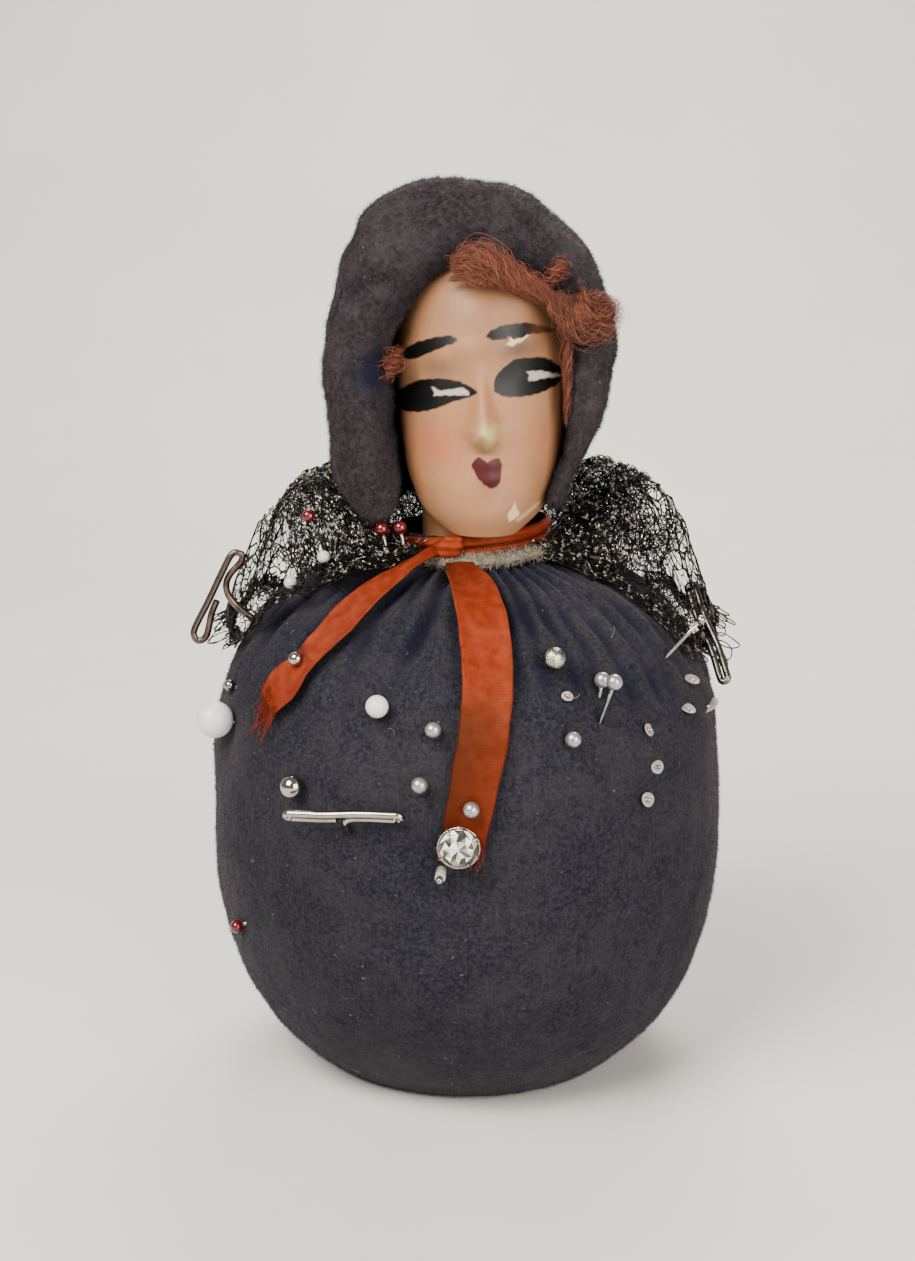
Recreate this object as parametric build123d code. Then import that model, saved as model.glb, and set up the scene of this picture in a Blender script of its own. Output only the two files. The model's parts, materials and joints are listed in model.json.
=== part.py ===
from build123d import *
from dataclasses import dataclass
import math
import os

# Doll pincushion: a velvet bag gathered into the neck of a painted composition head, stuffed firm and
# closed by a covered card, with a padded velvet hood, mohair, a metal lace collar, a satin ribbon and
# pins pushed into the stuffing. Millimetres. +Z is up, the face looks along -Y, and the origin is the
# centre of the flat base. A turn is an angle in degrees about Z, from the front towards +X.

# Faces count as flat when their corners are this close to one plane
flat_limit = 0.000001

# Velvet bag
base_radius = 18.0
bag_radius = 31.8
widest_height = 34.5
bag_height = 65.0
bag_mouth_wall = 4.2
bag_fullness = 2.6
velvet_thickness = 1.1
standing_edge_height = 3.0
standing_edge_wall = 3.3
bag_section_shares = (0.045, 0.12, 0.23, 0.37, 0.53, 0.68, 0.8, 0.89, 0.95, 0.983)

# Gathers drawn into the neck
gather_count = 24
gather_depth = 1.35
gather_start_height = 36.0
gather_uneven_shares = (1.0, 0.62, 0.85, 0.5, 0.95, 0.7)
gather_mouth_share = 0.6
gather_edge_share = 0.4
standing_edge_start_share = 0.17
gather_facets = 3

# Stuffing, base and neck fittings
stuffing_sides = 24
stuffing_clearance = 0.1
stuffing_section_shares = (0.16, 0.34, 0.53, 0.69, 0.8, 0.88, 0.935, 0.965)
cover_thickness = 1.2
card_thickness = 1.5
card_clearance = 0.3
peg_radius = 2.5
peg_length = 32.0
peg_clearance = 0.05
thread_thickness = 0.3
thread_lift = 1.9
thread_gap = 0.06
tape_drop = 0.75
tape_reach = 1.6
tape_thickness = 0.45
seat_gap = 0.15

# Composition head
head_lift = 3.6
head_height = 35.4
head_half_width = 10.4
head_half_depth = 13.4
head_side_shift = 1.8
head_height_shares = (0.0, 0.055, 0.15, 0.29, 0.46, 0.66, 0.83, 0.94, 1.0)
head_width_shares = (0.35, 0.6, 0.83, 0.94, 1.0, 1.0, 0.885, 0.615, 0.27)
head_depth_shares = (0.3, 0.52, 0.746, 0.896, 0.985, 1.0, 0.88, 0.627, 0.3)
head_back_shares = (-0.6, -0.41, -0.224, -0.09, 0.0, 0.015, 0.045, 0.075, 0.09)
neck_radius = 5.6
neck_clearance = 0.1
neck_length = 11.6
neck_inset = 5.4
ring_sides = 24
flange_reach = 3.4
flange_thickness = 2.0
head_bottom = bag_height + head_lift
neck_top = head_bottom + neck_inset
flange_bottom = head_bottom - neck_length
flange_radius = neck_radius + flange_reach
standing_edge_radius = neck_radius + standing_edge_wall
bag_mouth_radius = neck_radius + bag_mouth_wall

# Nose and lips, from the lowest section to the highest
nose_lift = 10.8
nose_height = 8.6
nose_half_width = 1.7
nose_reach = 2.5
nose_height_shares = (0.0, 0.22, 0.5, 1.0)
nose_width_shares = (0.55, 1.0, 0.72, 0.4)
nose_reach_shares = (0.3, 1.0, 0.7, 0.1)
lips_lift = 6.8
lips_height = 2.9
lips_half_width = 1.8
lips_reach = 0.45
lips_height_shares = (0.0, 0.3, 0.55, 0.75, 1.0)
lips_width_shares = (0.35, 0.8, 1.0, 1.0, 0.5)
lips_reach_shares = (0.0, 1.0, 0.6, 1.0, 0.0)
nose_bottom = head_bottom + nose_lift
lips_bottom = head_bottom + lips_lift

# Padded hood: a roll round the face and a crown behind it, joined at a seam
hood_lift = 1.0
hood_top_padding = 5.7
hood_side_padding = 7.1
hood_back_padding = 1.8
hood_bottom = head_bottom + hood_lift
hood_height = head_height - hood_lift + hood_top_padding
hood_half_width = head_half_width + hood_side_padding
hood_half_depth = head_half_depth + hood_back_padding
hood_seat_gap = 0.3
hood_seam_depth = 3.0
hood_seam_gap = 0.05
hood_wall = 1.2
hood_sides = 18
roll_sides = 16
crown_sides = 28
roll_forward = 5.0
roll_x_shares = (-0.7, -0.72, -0.72, -0.69, -0.55, -0.27, 0.12, 0.5, 0.745, 0.823, 0.8, 0.7)
roll_z_shares = (0.05, 0.172, 0.372, 0.584, 0.748, 0.845, 0.86, 0.783, 0.633, 0.434, 0.247, 0.11)
roll_thick_shares = (0.09, 0.22, 0.275, 0.28, 0.245, 0.29, 0.29, 0.25, 0.21, 0.175, 0.14, 0.08)
roll_deep_shares = (0.18, 0.28, 0.33, 0.345, 0.36, 0.38, 0.38, 0.36, 0.33, 0.29, 0.24, 0.16)
crown_z_shares = (0.022, 0.11, 0.234, 0.384, 0.534, 0.683, 0.808, 0.908, 0.973, 0.9975)
crown_x_shares = (-0.05, -0.05, -0.03, 0.0, 0.0, 0.0, -0.03, -0.07, -0.085, -0.085)
crown_width_shares = (0.62, 0.81, 0.92, 0.985, 0.99, 0.93, 0.79, 0.57, 0.32, 0.11)
crown_depth_shares = (0.62, 0.757, 0.895, 0.987, 1.0, 0.934, 0.789, 0.566, 0.316, 0.118)
crown_back_shares = (0.23, 0.164, 0.1, 0.066, 0.066, 0.066, 0.066, 0.066, 0.033, 0.02)

# Mohair
hair_radius = 1.5
hair_sides = 8
hair_gap = 0.15
fringe_x_shares = (-0.24, -0.1, 0.08, 0.26, 0.44)
fringe_z_shares = (0.79, 0.83, 0.825, 0.795, 0.745)
fringe_reach_shares = (0.88, 0.93, 0.94, 0.9, 0.82)
fringe_size_shares = (0.55, 1.15, 1.25, 1.0, 0.6)
tuft_x_shares = (0.6, 0.73, 0.86, 0.97, 1.05)
tuft_z_shares = (0.7, 0.69, 0.665, 0.655, 0.64)
tuft_reach_shares = (0.78, 0.83, 0.82, 0.72, 0.66)
tuft_size_shares = (0.5, 0.95, 1.35, 1.4, 0.6)
wisp_x_shares = (-0.5, -0.53, -0.51)
wisp_z_shares = (0.41, 0.47, 0.53)
wisp_reach_shares = (0.77, 0.8, 0.78)
wisp_size_shares = (0.3, 0.5, 0.3)

# Metal lace collar
lace_thickness = 0.5
lace_neck_gap = 0.45
lace_standing_inset = 0.2
lace_lying_inset = 3.0
lace_right_inner_turn = 46.0
lace_right_outer_turn = 69.0
lace_left_inner_turn = 334.0
lace_left_outer_turn = 282.0
lace_ruffles = 9
lace_ruffle_steps = 4
lace_ruffle_depth = 1.3
lace_reach_shares = (0.0, 0.09, 0.18, 0.28, 0.39, 0.54, 0.69, 0.85, 1.0)
lace_neck_lift = 1.7
lace_drop = 12.6
lace_rise = 6.4
lace_front_bulge = 5.5
lace_bulge_share = 0.12
lace_standing_shares = (0.0, 0.25, 0.47, 0.78, 1.0, 0.86, 0.42, -0.32, -1.0)
lace_crumple_depth = 1.3
lace_crumple_start_share = 0.42
lace_long_crumple_steps = 5.3
lace_long_crumple_places = 3.7
lace_short_crumple_steps = 3.4
lace_short_crumple_places = 2.9
lace_lying_gap = 1.0
lace_lift_turn = 34.0
lace_least_lift_share = 0.12
lace_right_lift_share = 0.25
lace_least_slope_share = 0.5

# Satin ribbon
band_gap = 0.09
band_thickness = 0.55
band_width = 2.3
band_lift = 2.1
band_crease = 0.22
band_tilt = 3.5
ribbon_thickness = 0.35
ribbon_width = 5.8
side_ribbon_width = 4.6
ribbon_gap = 0.25
knot_turn = -13.0
knot_width = 3.2
knot_height = 2.4
knot_lift = 0.25
knot_depth = 1.3
knot_round_share = 0.25
band_height = bag_height + band_lift
band_radius = standing_edge_radius + thread_gap + thread_thickness + band_gap
lace_inner_radius = band_radius + band_thickness + lace_neck_gap
front_tail_turns = (-4.5, 1.6, 4.2, 4.4, 2.9, 0.6, -1.3)
front_tail_height_shares = (0.993, 0.965, 0.915, 0.845, 0.755, 0.655, 0.57)
front_tail_width_shares = (0.55, 0.9, 1.0, 1.0, 0.97, 0.93, 0.88)
side_tail_turns = (-20.5, -27.5, -35.0, -40.8, -45.5, -50.5)
side_tail_height_shares = (0.993, 0.97, 0.935, 0.885, 0.825, 0.765)
side_tail_width_shares = (0.45, 0.62, 0.85, 1.0, 1.0, 0.95)

# Pin shafts, bores and bead heads
shaft_radius = 0.28
bore_clearance = 0.1
point_length = 1.6
point_share = 0.12
shaft_sides = 6
bead_sides = 10
wire_sides = 8
bead_ring_shares = (-0.9, -0.5, 0.0, 0.5, 0.9)
big_bead_sides = 16
big_bead_ring_shares = (-0.96, -0.78, -0.43, 0.0, 0.43, 0.78, 0.96)
big_bead_radius = 1.2
bead_gap = 0.12
pearl_radius = 0.93
glass_radius = 0.8
steel_small_radius = 0.7
steel_ribbon_radius = 0.85
steel_large_radius = 1.38
white_mid_radius = 1.3
white_large_radius = 2.25
long_pin = 19.0
short_pin = 13.0
plain_head_radius = 0.55
standing_stem = 4.6
near_stem = 0.7
leaning_stem = 5.5
tall_lace_stem = 7.6
lace_stem = 4.4
tall_clear_stem = 3.0
clear_stem = 1.9

# Upholstery pins bent from one wire
wire_radius = 0.42
bar_length = 13.3
bar_pitch = 0.95
wire_pin = 27.0
wire_gap = 0.3
wire_turn_steps = 4
front_wire_stand = 2.6
left_wire_stand = 5.6
right_wire_stand = 1.9

# Rhinestone, tube bead and sequins
stone_radius = 2.25
stone_height = 2.2
stone_sides = 12
stone_ring_shares = (0.3, 1.0, 1.0, 0.62)
stone_height_shares = (0.0, 0.5, 0.62, 1.0)
cup_wall = 0.25
cup_height = 1.5
cup_rim_share = 0.8
cup_stem = 0.9
tube_radius = 0.6
tube_length = 1.9
sequin_radius = 1.0
sequin_blade_radius = 1.6
sequin_thickness = 0.3
sequin_head_radius = 0.42


@dataclass(frozen=True)
class Pin:
    """Where a pin enters the velvet and how it leans.

    The height is a share of the bag's height. The rise is the angle of its outer end above level, or
    None for a pin set square to the velvet, and the swing turns it about Z away from the axis. The
    stem is the bare length between the velvet and its head, and the roll turns its head on the shaft.
    """
    turn: float
    height_share: float
    length: float
    head_radius: float
    stem: float = bead_gap
    rise: float | None = None
    swing: float = 0.0
    roll: float = 0.0

    def frame(self):
        """Plane at the velvet with its Z axis out along the shaft."""
        height = self.height_share * bag_height
        rise = self.rise
        if rise is None:
            out, up = bag_slope(height)
            rise = math.degrees(math.atan2(up, out))
        lean = math.radians(rise)
        outward = at(self.turn + self.swing, math.cos(lean), math.sin(lean))
        level = at(self.turn + self.swing + 90, 1, 0)
        return Plane(on_bag(self.turn, height, 0.0), x_dir=level, z_dir=outward)

    def buried(self):
        return self.length - self.stem


ribbon_stem = 2 * ribbon_gap + ribbon_thickness
pins = {
    "pearl_pin_a": Pin(-7.5, 0.765, long_pin, pearl_radius),
    "pearl_pin_b": Pin(-9.9, 0.674, long_pin, pearl_radius),
    "pearl_pin_c": Pin(32.2, 0.814, long_pin, pearl_radius, near_stem, 70.0, -10.0),
    "pearl_pin_d": Pin(30.8, 0.771, long_pin, pearl_radius, standing_stem, 61.5, -1.0),
    "pearl_pin_e": Pin(22.3, 0.742, long_pin, pearl_radius),
    "pearl_pin_f": Pin(0.5, 0.637, long_pin, pearl_radius, ribbon_stem),
    "white_pin_large": Pin(-67.0, 0.708, long_pin, white_large_radius),
    "white_pin_small": Pin(-20.0, 0.795, long_pin, white_mid_radius),
    "steel_pin_left": Pin(-38.0, 0.645, long_pin, steel_large_radius),
    "steel_pin_right": Pin(20.8, 0.865, long_pin, steel_large_radius),
    "steel_pin_side": Pin(-71.0, 0.765, short_pin, steel_small_radius),
    "steel_pin_ribbon": Pin(-44.6, 0.845, long_pin, steel_ribbon_radius, ribbon_stem),
    "red_pin_low": Pin(-62.4, 0.323, long_pin, glass_radius),
    "red_pin_a": Pin(-67.0, 0.971, long_pin, glass_radius, tall_lace_stem, 62.0),
    "red_pin_b": Pin(-45.0, 0.9895, long_pin, glass_radius, lace_stem, 75.0),
    "red_pin_c": Pin(-37.0, 0.9935, long_pin, glass_radius, lace_stem, 75.0),
    "clear_pin_a": Pin(-60.0, 0.963, short_pin, glass_radius, tall_clear_stem, 60.0),
    "clear_pin_b": Pin(-66.5, 0.934, short_pin, glass_radius, clear_stem, 45.0),
    "plain_pin": Pin(59.8, 0.84, long_pin, plain_head_radius, leaning_stem, 49.0, 20.7),
    "wire_pin_front": Pin(-25.5, 0.58, wire_pin, wire_radius, front_wire_stand, 48.0, 12.0, 4.0),
    "wire_pin_left": Pin(-82.6, 0.868, wire_pin, wire_radius, left_wire_stand, 32.0, 0.0, 90.0),
    "wire_pin_right": Pin(83.0, 0.832, wire_pin, wire_radius, right_wire_stand, 25.0, 0.0, 60.0),
    "rhinestone_pin": Pin(-1.9, 0.574, long_pin, stone_radius, cup_stem),
    "tube_bead_pin": Pin(-5.5, 0.523, short_pin, tube_radius, bead_gap, -12.0),
    "sequin_pin_a": Pin(23.0, 0.812, short_pin, sequin_radius),
    "sequin_pin_b": Pin(43.0, 0.735, short_pin, sequin_radius),
    "sequin_pin_c": Pin(44.0, 0.668, short_pin, sequin_radius),
    "sequin_pin_d": Pin(40.6, 0.615, short_pin, sequin_radius),
    "sequin_pin_e": Pin(66.0, 0.786, short_pin, sequin_radius),
    "sequin_pin_f": Pin(59.1, 0.746, short_pin, sequin_radius),
    "sequin_pin_g": Pin(70.6, 0.729, short_pin, sequin_blade_radius),
}
lace_pins = ("red_pin_a", "red_pin_b", "red_pin_c", "clear_pin_a", "clear_pin_b", "plain_pin",
             "wire_pin_left", "wire_pin_right")
front_ribbon_pins = ("pearl_pin_f", "rhinestone_pin")
side_ribbon_pins = ("steel_pin_ribbon",)


def at(turn, radius, height):
    """A point at a turn about Z, a radius from the axis and a height."""
    angle = math.radians(turn)
    return Vector(radius * math.sin(angle), -radius * math.cos(angle), height)


def barrel_span(end_radius):
    """Share of a barrel's half height at which its radius has shrunk to an end radius."""
    return (1 - (end_radius / bag_radius) ** bag_fullness) ** (1 / bag_fullness)


def bag_reach(height):
    """Radius of the gathered bag's crests at a height: a rounded barrel with a flat base."""
    if height <= widest_height:
        share = (widest_height - height) * barrel_span(base_radius) / widest_height
    else:
        share = (height - widest_height) * barrel_span(bag_mouth_radius) / (bag_height - widest_height)
    return bag_radius * max(0.0, 1 - share ** bag_fullness) ** (1 / bag_fullness)


def bag_top_height(radius):
    """Height of the crests on the bag's upper half at a radius."""
    rise = (bag_height - widest_height) / barrel_span(bag_mouth_radius)
    return widest_height + rise * barrel_span(radius)


def bag_slope(height):
    """Unit outward normal of the bag's crests, as its radial and upward parts."""
    step = velvet_thickness / 2
    low = max(height - step, 0.0)
    high = min(height + step, bag_height)
    slope = (bag_reach(high) - bag_reach(low)) / (high - low)
    length = math.hypot(1.0, slope)
    return 1.0 / length, -slope / length


def on_bag(turn, height, lift):
    """A point at a lift above the bag's crests, measured square to them."""
    out, up = bag_slope(height)
    return at(turn, bag_reach(height) + lift * out, height + lift * up)


def gather_share(height):
    """How deep the gathers are at a height, from 0 at their lower ends to 1 at the neck."""
    span = bag_height - gather_start_height
    return min(1.0, max(0.0, (height - gather_start_height) / span))


def scallop_ring(radius, depth, height):
    """Corners of one section of the bag: each gather swells from a valley over a crest to the next."""
    step = 2 * math.pi / gather_count
    corners = []
    for number in range(gather_count):
        near = gather_uneven_shares[number % len(gather_uneven_shares)]
        far = gather_uneven_shares[(number + 1) % len(gather_uneven_shares)]
        for facet in range(gather_facets):
            share = facet / gather_facets
            valley = near + share * (far - near)
            swell = math.sin(math.pi * share)
            angle = math.degrees((number + share) * step)
            corners.append(at(angle, radius - depth * valley * (1 - swell), height))
    return corners


def polygon_ring(sides, half_width, half_depth, across, back, height):
    """Corners of a many-sided section, stretched across and from front to back."""
    corners = []
    for number in range(sides):
        angle = 2 * math.pi * (number + 0.5) / sides
        x = across + half_width * math.sin(angle)
        y = back - half_depth * math.cos(angle)
        corners.append(Vector(x, y, height))
    return corners


def flat_face(corners):
    return Face(Wire.make_polygon(corners, close=True))


def end_faces(ring, bent):
    """Faces over an end ring: one where it is flat, or pairs of triangles from side to side where bent."""
    if not bent:
        return [flat_face(ring)]
    faces = []
    for number in range(len(ring) // 2 - 1):
        across = -1 - number
        faces.append(flat_face([ring[number], ring[number + 1], ring[across - 1]]))
        faces.append(flat_face([ring[number], ring[across - 1], ring[across]]))
    return faces


def skin(rings, bent=False):
    """A solid through rings of corners, with flat faces from each ring to the next."""
    faces = end_faces(rings[0], bent) + end_faces(rings[-1], bent)
    for low, high in zip(rings, rings[1:]):
        for number in range(len(low)):
            after = (number + 1) % len(low)
            side = low[after] - low[number]
            normal = side.cross(high[after] - low[number]).normalized()
            if abs(normal.dot(high[number] - low[number])) < flat_limit:
                faces.append(flat_face([low[number], low[after], high[after], high[number]]))
            else:
                faces.append(flat_face([low[number], low[after], high[after]]))
                faces.append(flat_face([low[number], high[after], high[number]]))
    return Solid(Shell(faces))


def smooth_shares(shares):
    """The same shares with one more between each pair, on a smooth curve through them."""
    last = len(shares) - 1
    full = [shares[0]]
    for number in range(last):
        near = shares[number]
        far = shares[number + 1]
        if number == 0:
            middle = (3 * near + 6 * far - shares[number + 2]) / 8
        elif number + 1 == last:
            middle = (3 * far + 6 * near - shares[number - 1]) / 8
        else:
            middle = (9 * (near + far) - shares[number - 1] - shares[number + 2]) / 16
        full.extend([middle, far])
    return full


def upright(radius, bottom, top):
    """An upright cylinder on the axis."""
    return Pos(0, 0, bottom) * Cylinder(radius, top - bottom, align=(Align.CENTER, Align.CENTER, Align.MIN))


def filling(inset, bottom):
    """The space inside the bag, a set distance inside the velvet's valleys."""
    radius = base_radius - inset
    rings = [polygon_ring(stuffing_sides, radius, radius, 0, 0, bottom)]
    for share in stuffing_section_shares:
        height = share * bag_height
        out, up = bag_slope(height)
        depth = inset + gather_depth * gather_share(height)
        radius = bag_reach(height) - depth * out
        rings.append(polygon_ring(stuffing_sides, radius, radius, 0, 0, height - depth * up))
    return skin(rings)


def peg_bottom():
    return neck_top - peg_radius - peg_length


def standing_edge_top():
    return bag_height + standing_edge_height


def pin_shaft(pin, grow, top):
    """A pointed shaft in its pin's own frame, wider all round by a clearance."""
    tip = -pin.buried() - grow
    shoulder = tip + point_length
    radius = wire_radius if pin.length == wire_pin else shaft_radius
    rings = []
    for height, share in ((tip, point_share), (shoulder, 1.0), (top, 1.0)):
        rings.append(polygon_ring(shaft_sides, radius * share + grow, radius * share + grow, 0, 0, height))
    return skin(rings)


def bore(pin):
    """The room that a pin's shaft takes as it is pushed in or drawn out."""
    return pin.frame() * pin_shaft(pin, bore_clearance, pin.stem + gather_depth)


def bores(names):
    return [bore(pins[name]) for name in names]


def make_velvet_bag():
    """Bag and its gathered standing edge, hollow inside, with a mouth for the neck."""
    rings = [scallop_ring(base_radius, 0.0, 0.0)]
    for share in bag_section_shares:
        height = share * bag_height
        rings.append(scallop_ring(bag_reach(height), gather_depth * gather_share(height), height))
    rings.append(scallop_ring(bag_mouth_radius, gather_depth * gather_mouth_share, bag_height))
    edge_depth = gather_depth * gather_edge_share
    edge_start = bag_height + standing_edge_start_share * standing_edge_height
    rings.append(scallop_ring(standing_edge_radius, edge_depth, edge_start))
    rings.append(scallop_ring(standing_edge_radius, edge_depth, standing_edge_top()))
    bag = skin(rings) - filling(velvet_thickness, 0.0)
    bag -= upright(neck_radius + neck_clearance, widest_height, standing_edge_top() + velvet_thickness)
    return bag.cut(*bores(pins))


def make_stuffing():
    """Firm stuffing that fills the bag, with room for the flange, the neck and the peg."""
    stuffing = filling(velvet_thickness + stuffing_clearance, cover_thickness + card_thickness)
    stuffing -= upright(flange_radius + neck_clearance, flange_bottom - neck_clearance, bag_height)
    stuffing -= upright(peg_radius + peg_clearance, peg_bottom(), bag_height)
    return stuffing.cut(*bores(pins))


def make_base_cover():
    """Velvet disc that closes the bottom of the bag."""
    return upright(base_radius - velvet_thickness - card_clearance, 0.0, cover_thickness)


def make_base_card():
    """Card disc over the velvet, which keeps the base flat."""
    radius = base_radius - velvet_thickness - card_clearance
    return upright(radius, cover_thickness, cover_thickness + card_thickness)


def ellipse_ring(half_width, half_depth, across, back, height):
    return Pos(across, back, height) * Ellipse(half_width, half_depth)


def hood_polygon(half_width, half_depth, across, back, height):
    """A many-sided section that goes round the ellipse it stands for."""
    outside = 1 / math.cos(math.pi / hood_sides)
    return polygon_ring(hood_sides, half_width * outside, half_depth * outside, across, back, height)


def crown_polygon(half_width, half_depth, across, back, height):
    return polygon_ring(crown_sides, half_width, half_depth, across, back, height)


def inner_polygon(half_width, half_depth, across, back, height):
    return polygon_ring(hood_sides, half_width, half_depth, across, back, height)


def egg_rings(grow, ring, spread):
    """Sections of the head's egg, larger all round by a given amount, with the shares spread as told."""
    heights = spread(head_height_shares)
    widths = spread(head_width_shares)
    depths = spread(head_depth_shares)
    backs = spread(head_back_shares)
    rings = []
    last = len(heights) - 1
    for number in range(last + 1):
        height = head_bottom + heights[number] * head_height
        if number == 0:
            height -= grow
        if number == last:
            height += grow
        half_width = head_half_width * widths[number] + grow
        half_depth = head_half_depth * depths[number] + grow
        rings.append(ring(half_width, half_depth, head_side_shift, head_half_depth * backs[number], height))
    return rings


def face_front(height):
    """How far the egg's front stands forward of the axis at a height."""
    share = (height - head_bottom) / head_height
    for number in range(1, len(head_height_shares)):
        low = head_height_shares[number - 1]
        high = head_height_shares[number]
        if share <= high:
            part = (share - low) / (high - low)
            before = head_depth_shares[number - 1] - head_back_shares[number - 1]
            after = head_depth_shares[number] - head_back_shares[number]
            return head_half_depth * (before + part * (after - before))
    return head_half_depth * head_depth_shares[-1]


def ridge(bottom, tall, wide, reach, height_shares, width_shares, reach_shares):
    """A swelling on the face: upright ellipses that stand out by a changing reach."""
    rings = []
    for number, share in enumerate(height_shares):
        height = bottom + share * tall
        half_width = wide * width_shares[number]
        half_depth = wide / 2 + reach * reach_shares[number]
        back = wide / 2 - face_front(height)
        rings.append(ellipse_ring(half_width, half_depth, head_side_shift, back, height))
    return loft(rings, ruled=True)


def make_head():
    """Composition head with nose, lips, neck and the flange that the bag is tied over."""
    head = loft(egg_rings(0.0, ellipse_ring, list))
    head += ridge(nose_bottom, nose_height, nose_half_width, nose_reach,
                  nose_height_shares, nose_width_shares, nose_reach_shares)
    head += ridge(lips_bottom, lips_height, lips_half_width, lips_reach,
                  lips_height_shares, lips_width_shares, lips_reach_shares)
    head += upright(neck_radius, flange_bottom, neck_top)
    head += upright(flange_radius, flange_bottom, flange_bottom + flange_thickness)
    return head - upright(peg_radius + peg_clearance, peg_bottom(), neck_top - peg_radius)


def make_neck_peg():
    """Wooden peg from the head down into the stuffing."""
    return upright(peg_radius, peg_bottom() + peg_clearance, neck_top - peg_radius - peg_clearance)


def turned_ring(points):
    """A many-sided ring about the axis from a closed section of radius and height pairs."""
    outside = 1 / math.cos(math.pi / ring_sides)
    faces = []
    for number in range(ring_sides):
        turns = [360 * step / ring_sides for step in (number, number + 1)]
        for place in range(len(points)):
            corners = []
            for turn, (radius, height) in ((turns[0], points[place - 1]), (turns[0], points[place]),
                                           (turns[1], points[place]), (turns[1], points[place - 1])):
                corners.append(at(turn, radius * outside, height))
            faces.append(flat_face(corners))
    return Solid(Shell(faces))


def make_gathering_thread():
    """Thread tied round the standing edge, under the ribbon."""
    inner = standing_edge_radius + thread_gap
    outer = inner + thread_thickness
    low = bag_height + thread_lift
    high = low + thread_thickness
    return turned_ring([(inner, low), (outer, low), (outer, high), (inner, high)])


def make_neck_tape():
    """Cotton tape that lies on the gathers below the ribbon, like a shallow cone."""
    inner = bag_mouth_radius + seat_gap
    outer = bag_mouth_radius + tape_reach
    low = bag_height + seat_gap
    high = low + tape_drop
    return turned_ring([(inner, low), (outer, low), (outer, low + tape_thickness), (inner, high)])


def roll_arch(grow):
    """Padded tube of changing thickness, bent round the face from chin to chin."""
    path = []
    for x_share, z_share in zip(smooth_shares(roll_x_shares), smooth_shares(roll_z_shares)):
        path.append(Vector(x_share * hood_half_width, -roll_forward, hood_bottom + z_share * hood_height))
    thick_shares = smooth_shares(roll_thick_shares)
    deep_shares = smooth_shares(roll_deep_shares)
    last = len(path) - 1
    rings = []
    for number, point in enumerate(path):
        along = path[min(number + 1, last)] - path[max(number - 1, 0)]
        plane = Plane(point, x_dir=(0, 1, 0), z_dir=along)
        deep = deep_shares[number] * hood_half_width + grow
        thick = thick_shares[number] * hood_half_width + grow
        ring = polygon_ring(roll_sides, deep, thick, 0, 0, 0)
        rings.append([plane.from_local_coords(corner) for corner in ring])
    return skin(rings)


def head_room():
    """Space that the hood leaves for the head and neck."""
    room = skin(egg_rings(hood_seat_gap, hood_polygon, smooth_shares))
    return room + upright(neck_radius + hood_seat_gap, flange_bottom, neck_top)


def hood_half(seam, side):
    """A block on one side of the seam plane across the hood."""
    size = 4 * hood_height
    block = Box(size, size, size, align=(Align.CENTER, side, Align.CENTER))
    return Pos(0, seam, hood_bottom) * block


def make_hood_roll():
    """Stuffed velvet roll round the face, flat at its seam with the crown."""
    front = -hood_seam_depth - hood_seam_gap
    return roll_arch(0.0) - head_room() - hood_half(front, Align.MIN)


def crown_form(inset, ring):
    """Rounded cap behind the face, smaller all round by an inset."""
    rings = []
    last = len(crown_z_shares) - 1
    for number, share in enumerate(crown_z_shares):
        height = hood_bottom + share * hood_height
        if number == 0:
            height += inset
        if number >= last - 1:
            height -= inset
        half_width = max(crown_width_shares[number] * hood_half_width - inset, inset / 2)
        half_depth = max(crown_depth_shares[number] * hood_half_depth - inset, inset / 2)
        across = crown_x_shares[number] * hood_half_width
        back = crown_back_shares[number] * hood_half_depth
        rings.append(ring(half_width, half_depth, across, back, height))
    return skin(rings)


def make_hood_crown():
    """Velvet cap with its wall, open at the front seam and round the neck."""
    shell = crown_form(0.0, crown_polygon) - crown_form(hood_wall, inner_polygon)
    return shell - head_room() - hood_half(-hood_seam_depth, Align.MAX)


def make_hood_wadding():
    """Wadding between the cap and the head."""
    wadding = crown_form(hood_wall + hood_seam_gap, inner_polygon)
    return wadding - head_room() - hood_half(-hood_seam_depth, Align.MAX)


def make_hair_lock(x_shares, z_shares, reach_shares, size_shares):
    """A lock of mohair: a tapering tube laid along the edge of the hood, clear of head and roll."""
    points = []
    for number in range(len(x_shares)):
        across = x_shares[number] * hood_half_width
        height = hood_bottom + z_shares[number] * hood_height
        points.append(Vector(across, -reach_shares[number] * head_half_depth, height))
    rings = []
    for number in range(len(points)):
        along = points[min(number + 1, len(points) - 1)] - points[max(number - 1, 0)]
        plane = Plane(points[number], z_dir=along)
        size = hair_radius * size_shares[number]
        ring = polygon_ring(hair_sides, size, size, 0, 0, 0)
        rings.append([plane.from_local_coords(corner) for corner in ring])
    lock = skin(rings) - skin(egg_rings(hair_gap, hood_polygon, smooth_shares))
    return lock - roll_arch(hair_gap)


def make_front_hair():
    """The forelock and the short wisp that shows beside the cheek."""
    fringe = make_hair_lock(fringe_x_shares, fringe_z_shares, fringe_reach_shares, fringe_size_shares)
    wisp = make_hair_lock(wisp_x_shares, wisp_z_shares, wisp_reach_shares, wisp_size_shares)
    return Compound(children=[fringe, wisp])


def lace_lift(share):
    """How far the lace stands away from the bag at a share of the way round, 0 lying to 1 standing."""
    span = lace_left_inner_turn - lace_right_inner_turn
    from_edge = min(share, 1 - share) * span / lace_lift_turn
    part = min(1.0, from_edge)
    if share < 1 - share:
        part = max(part, lace_right_lift_share)
    return max(lace_least_lift_share, part * part * (3 - 2 * part))


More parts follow.
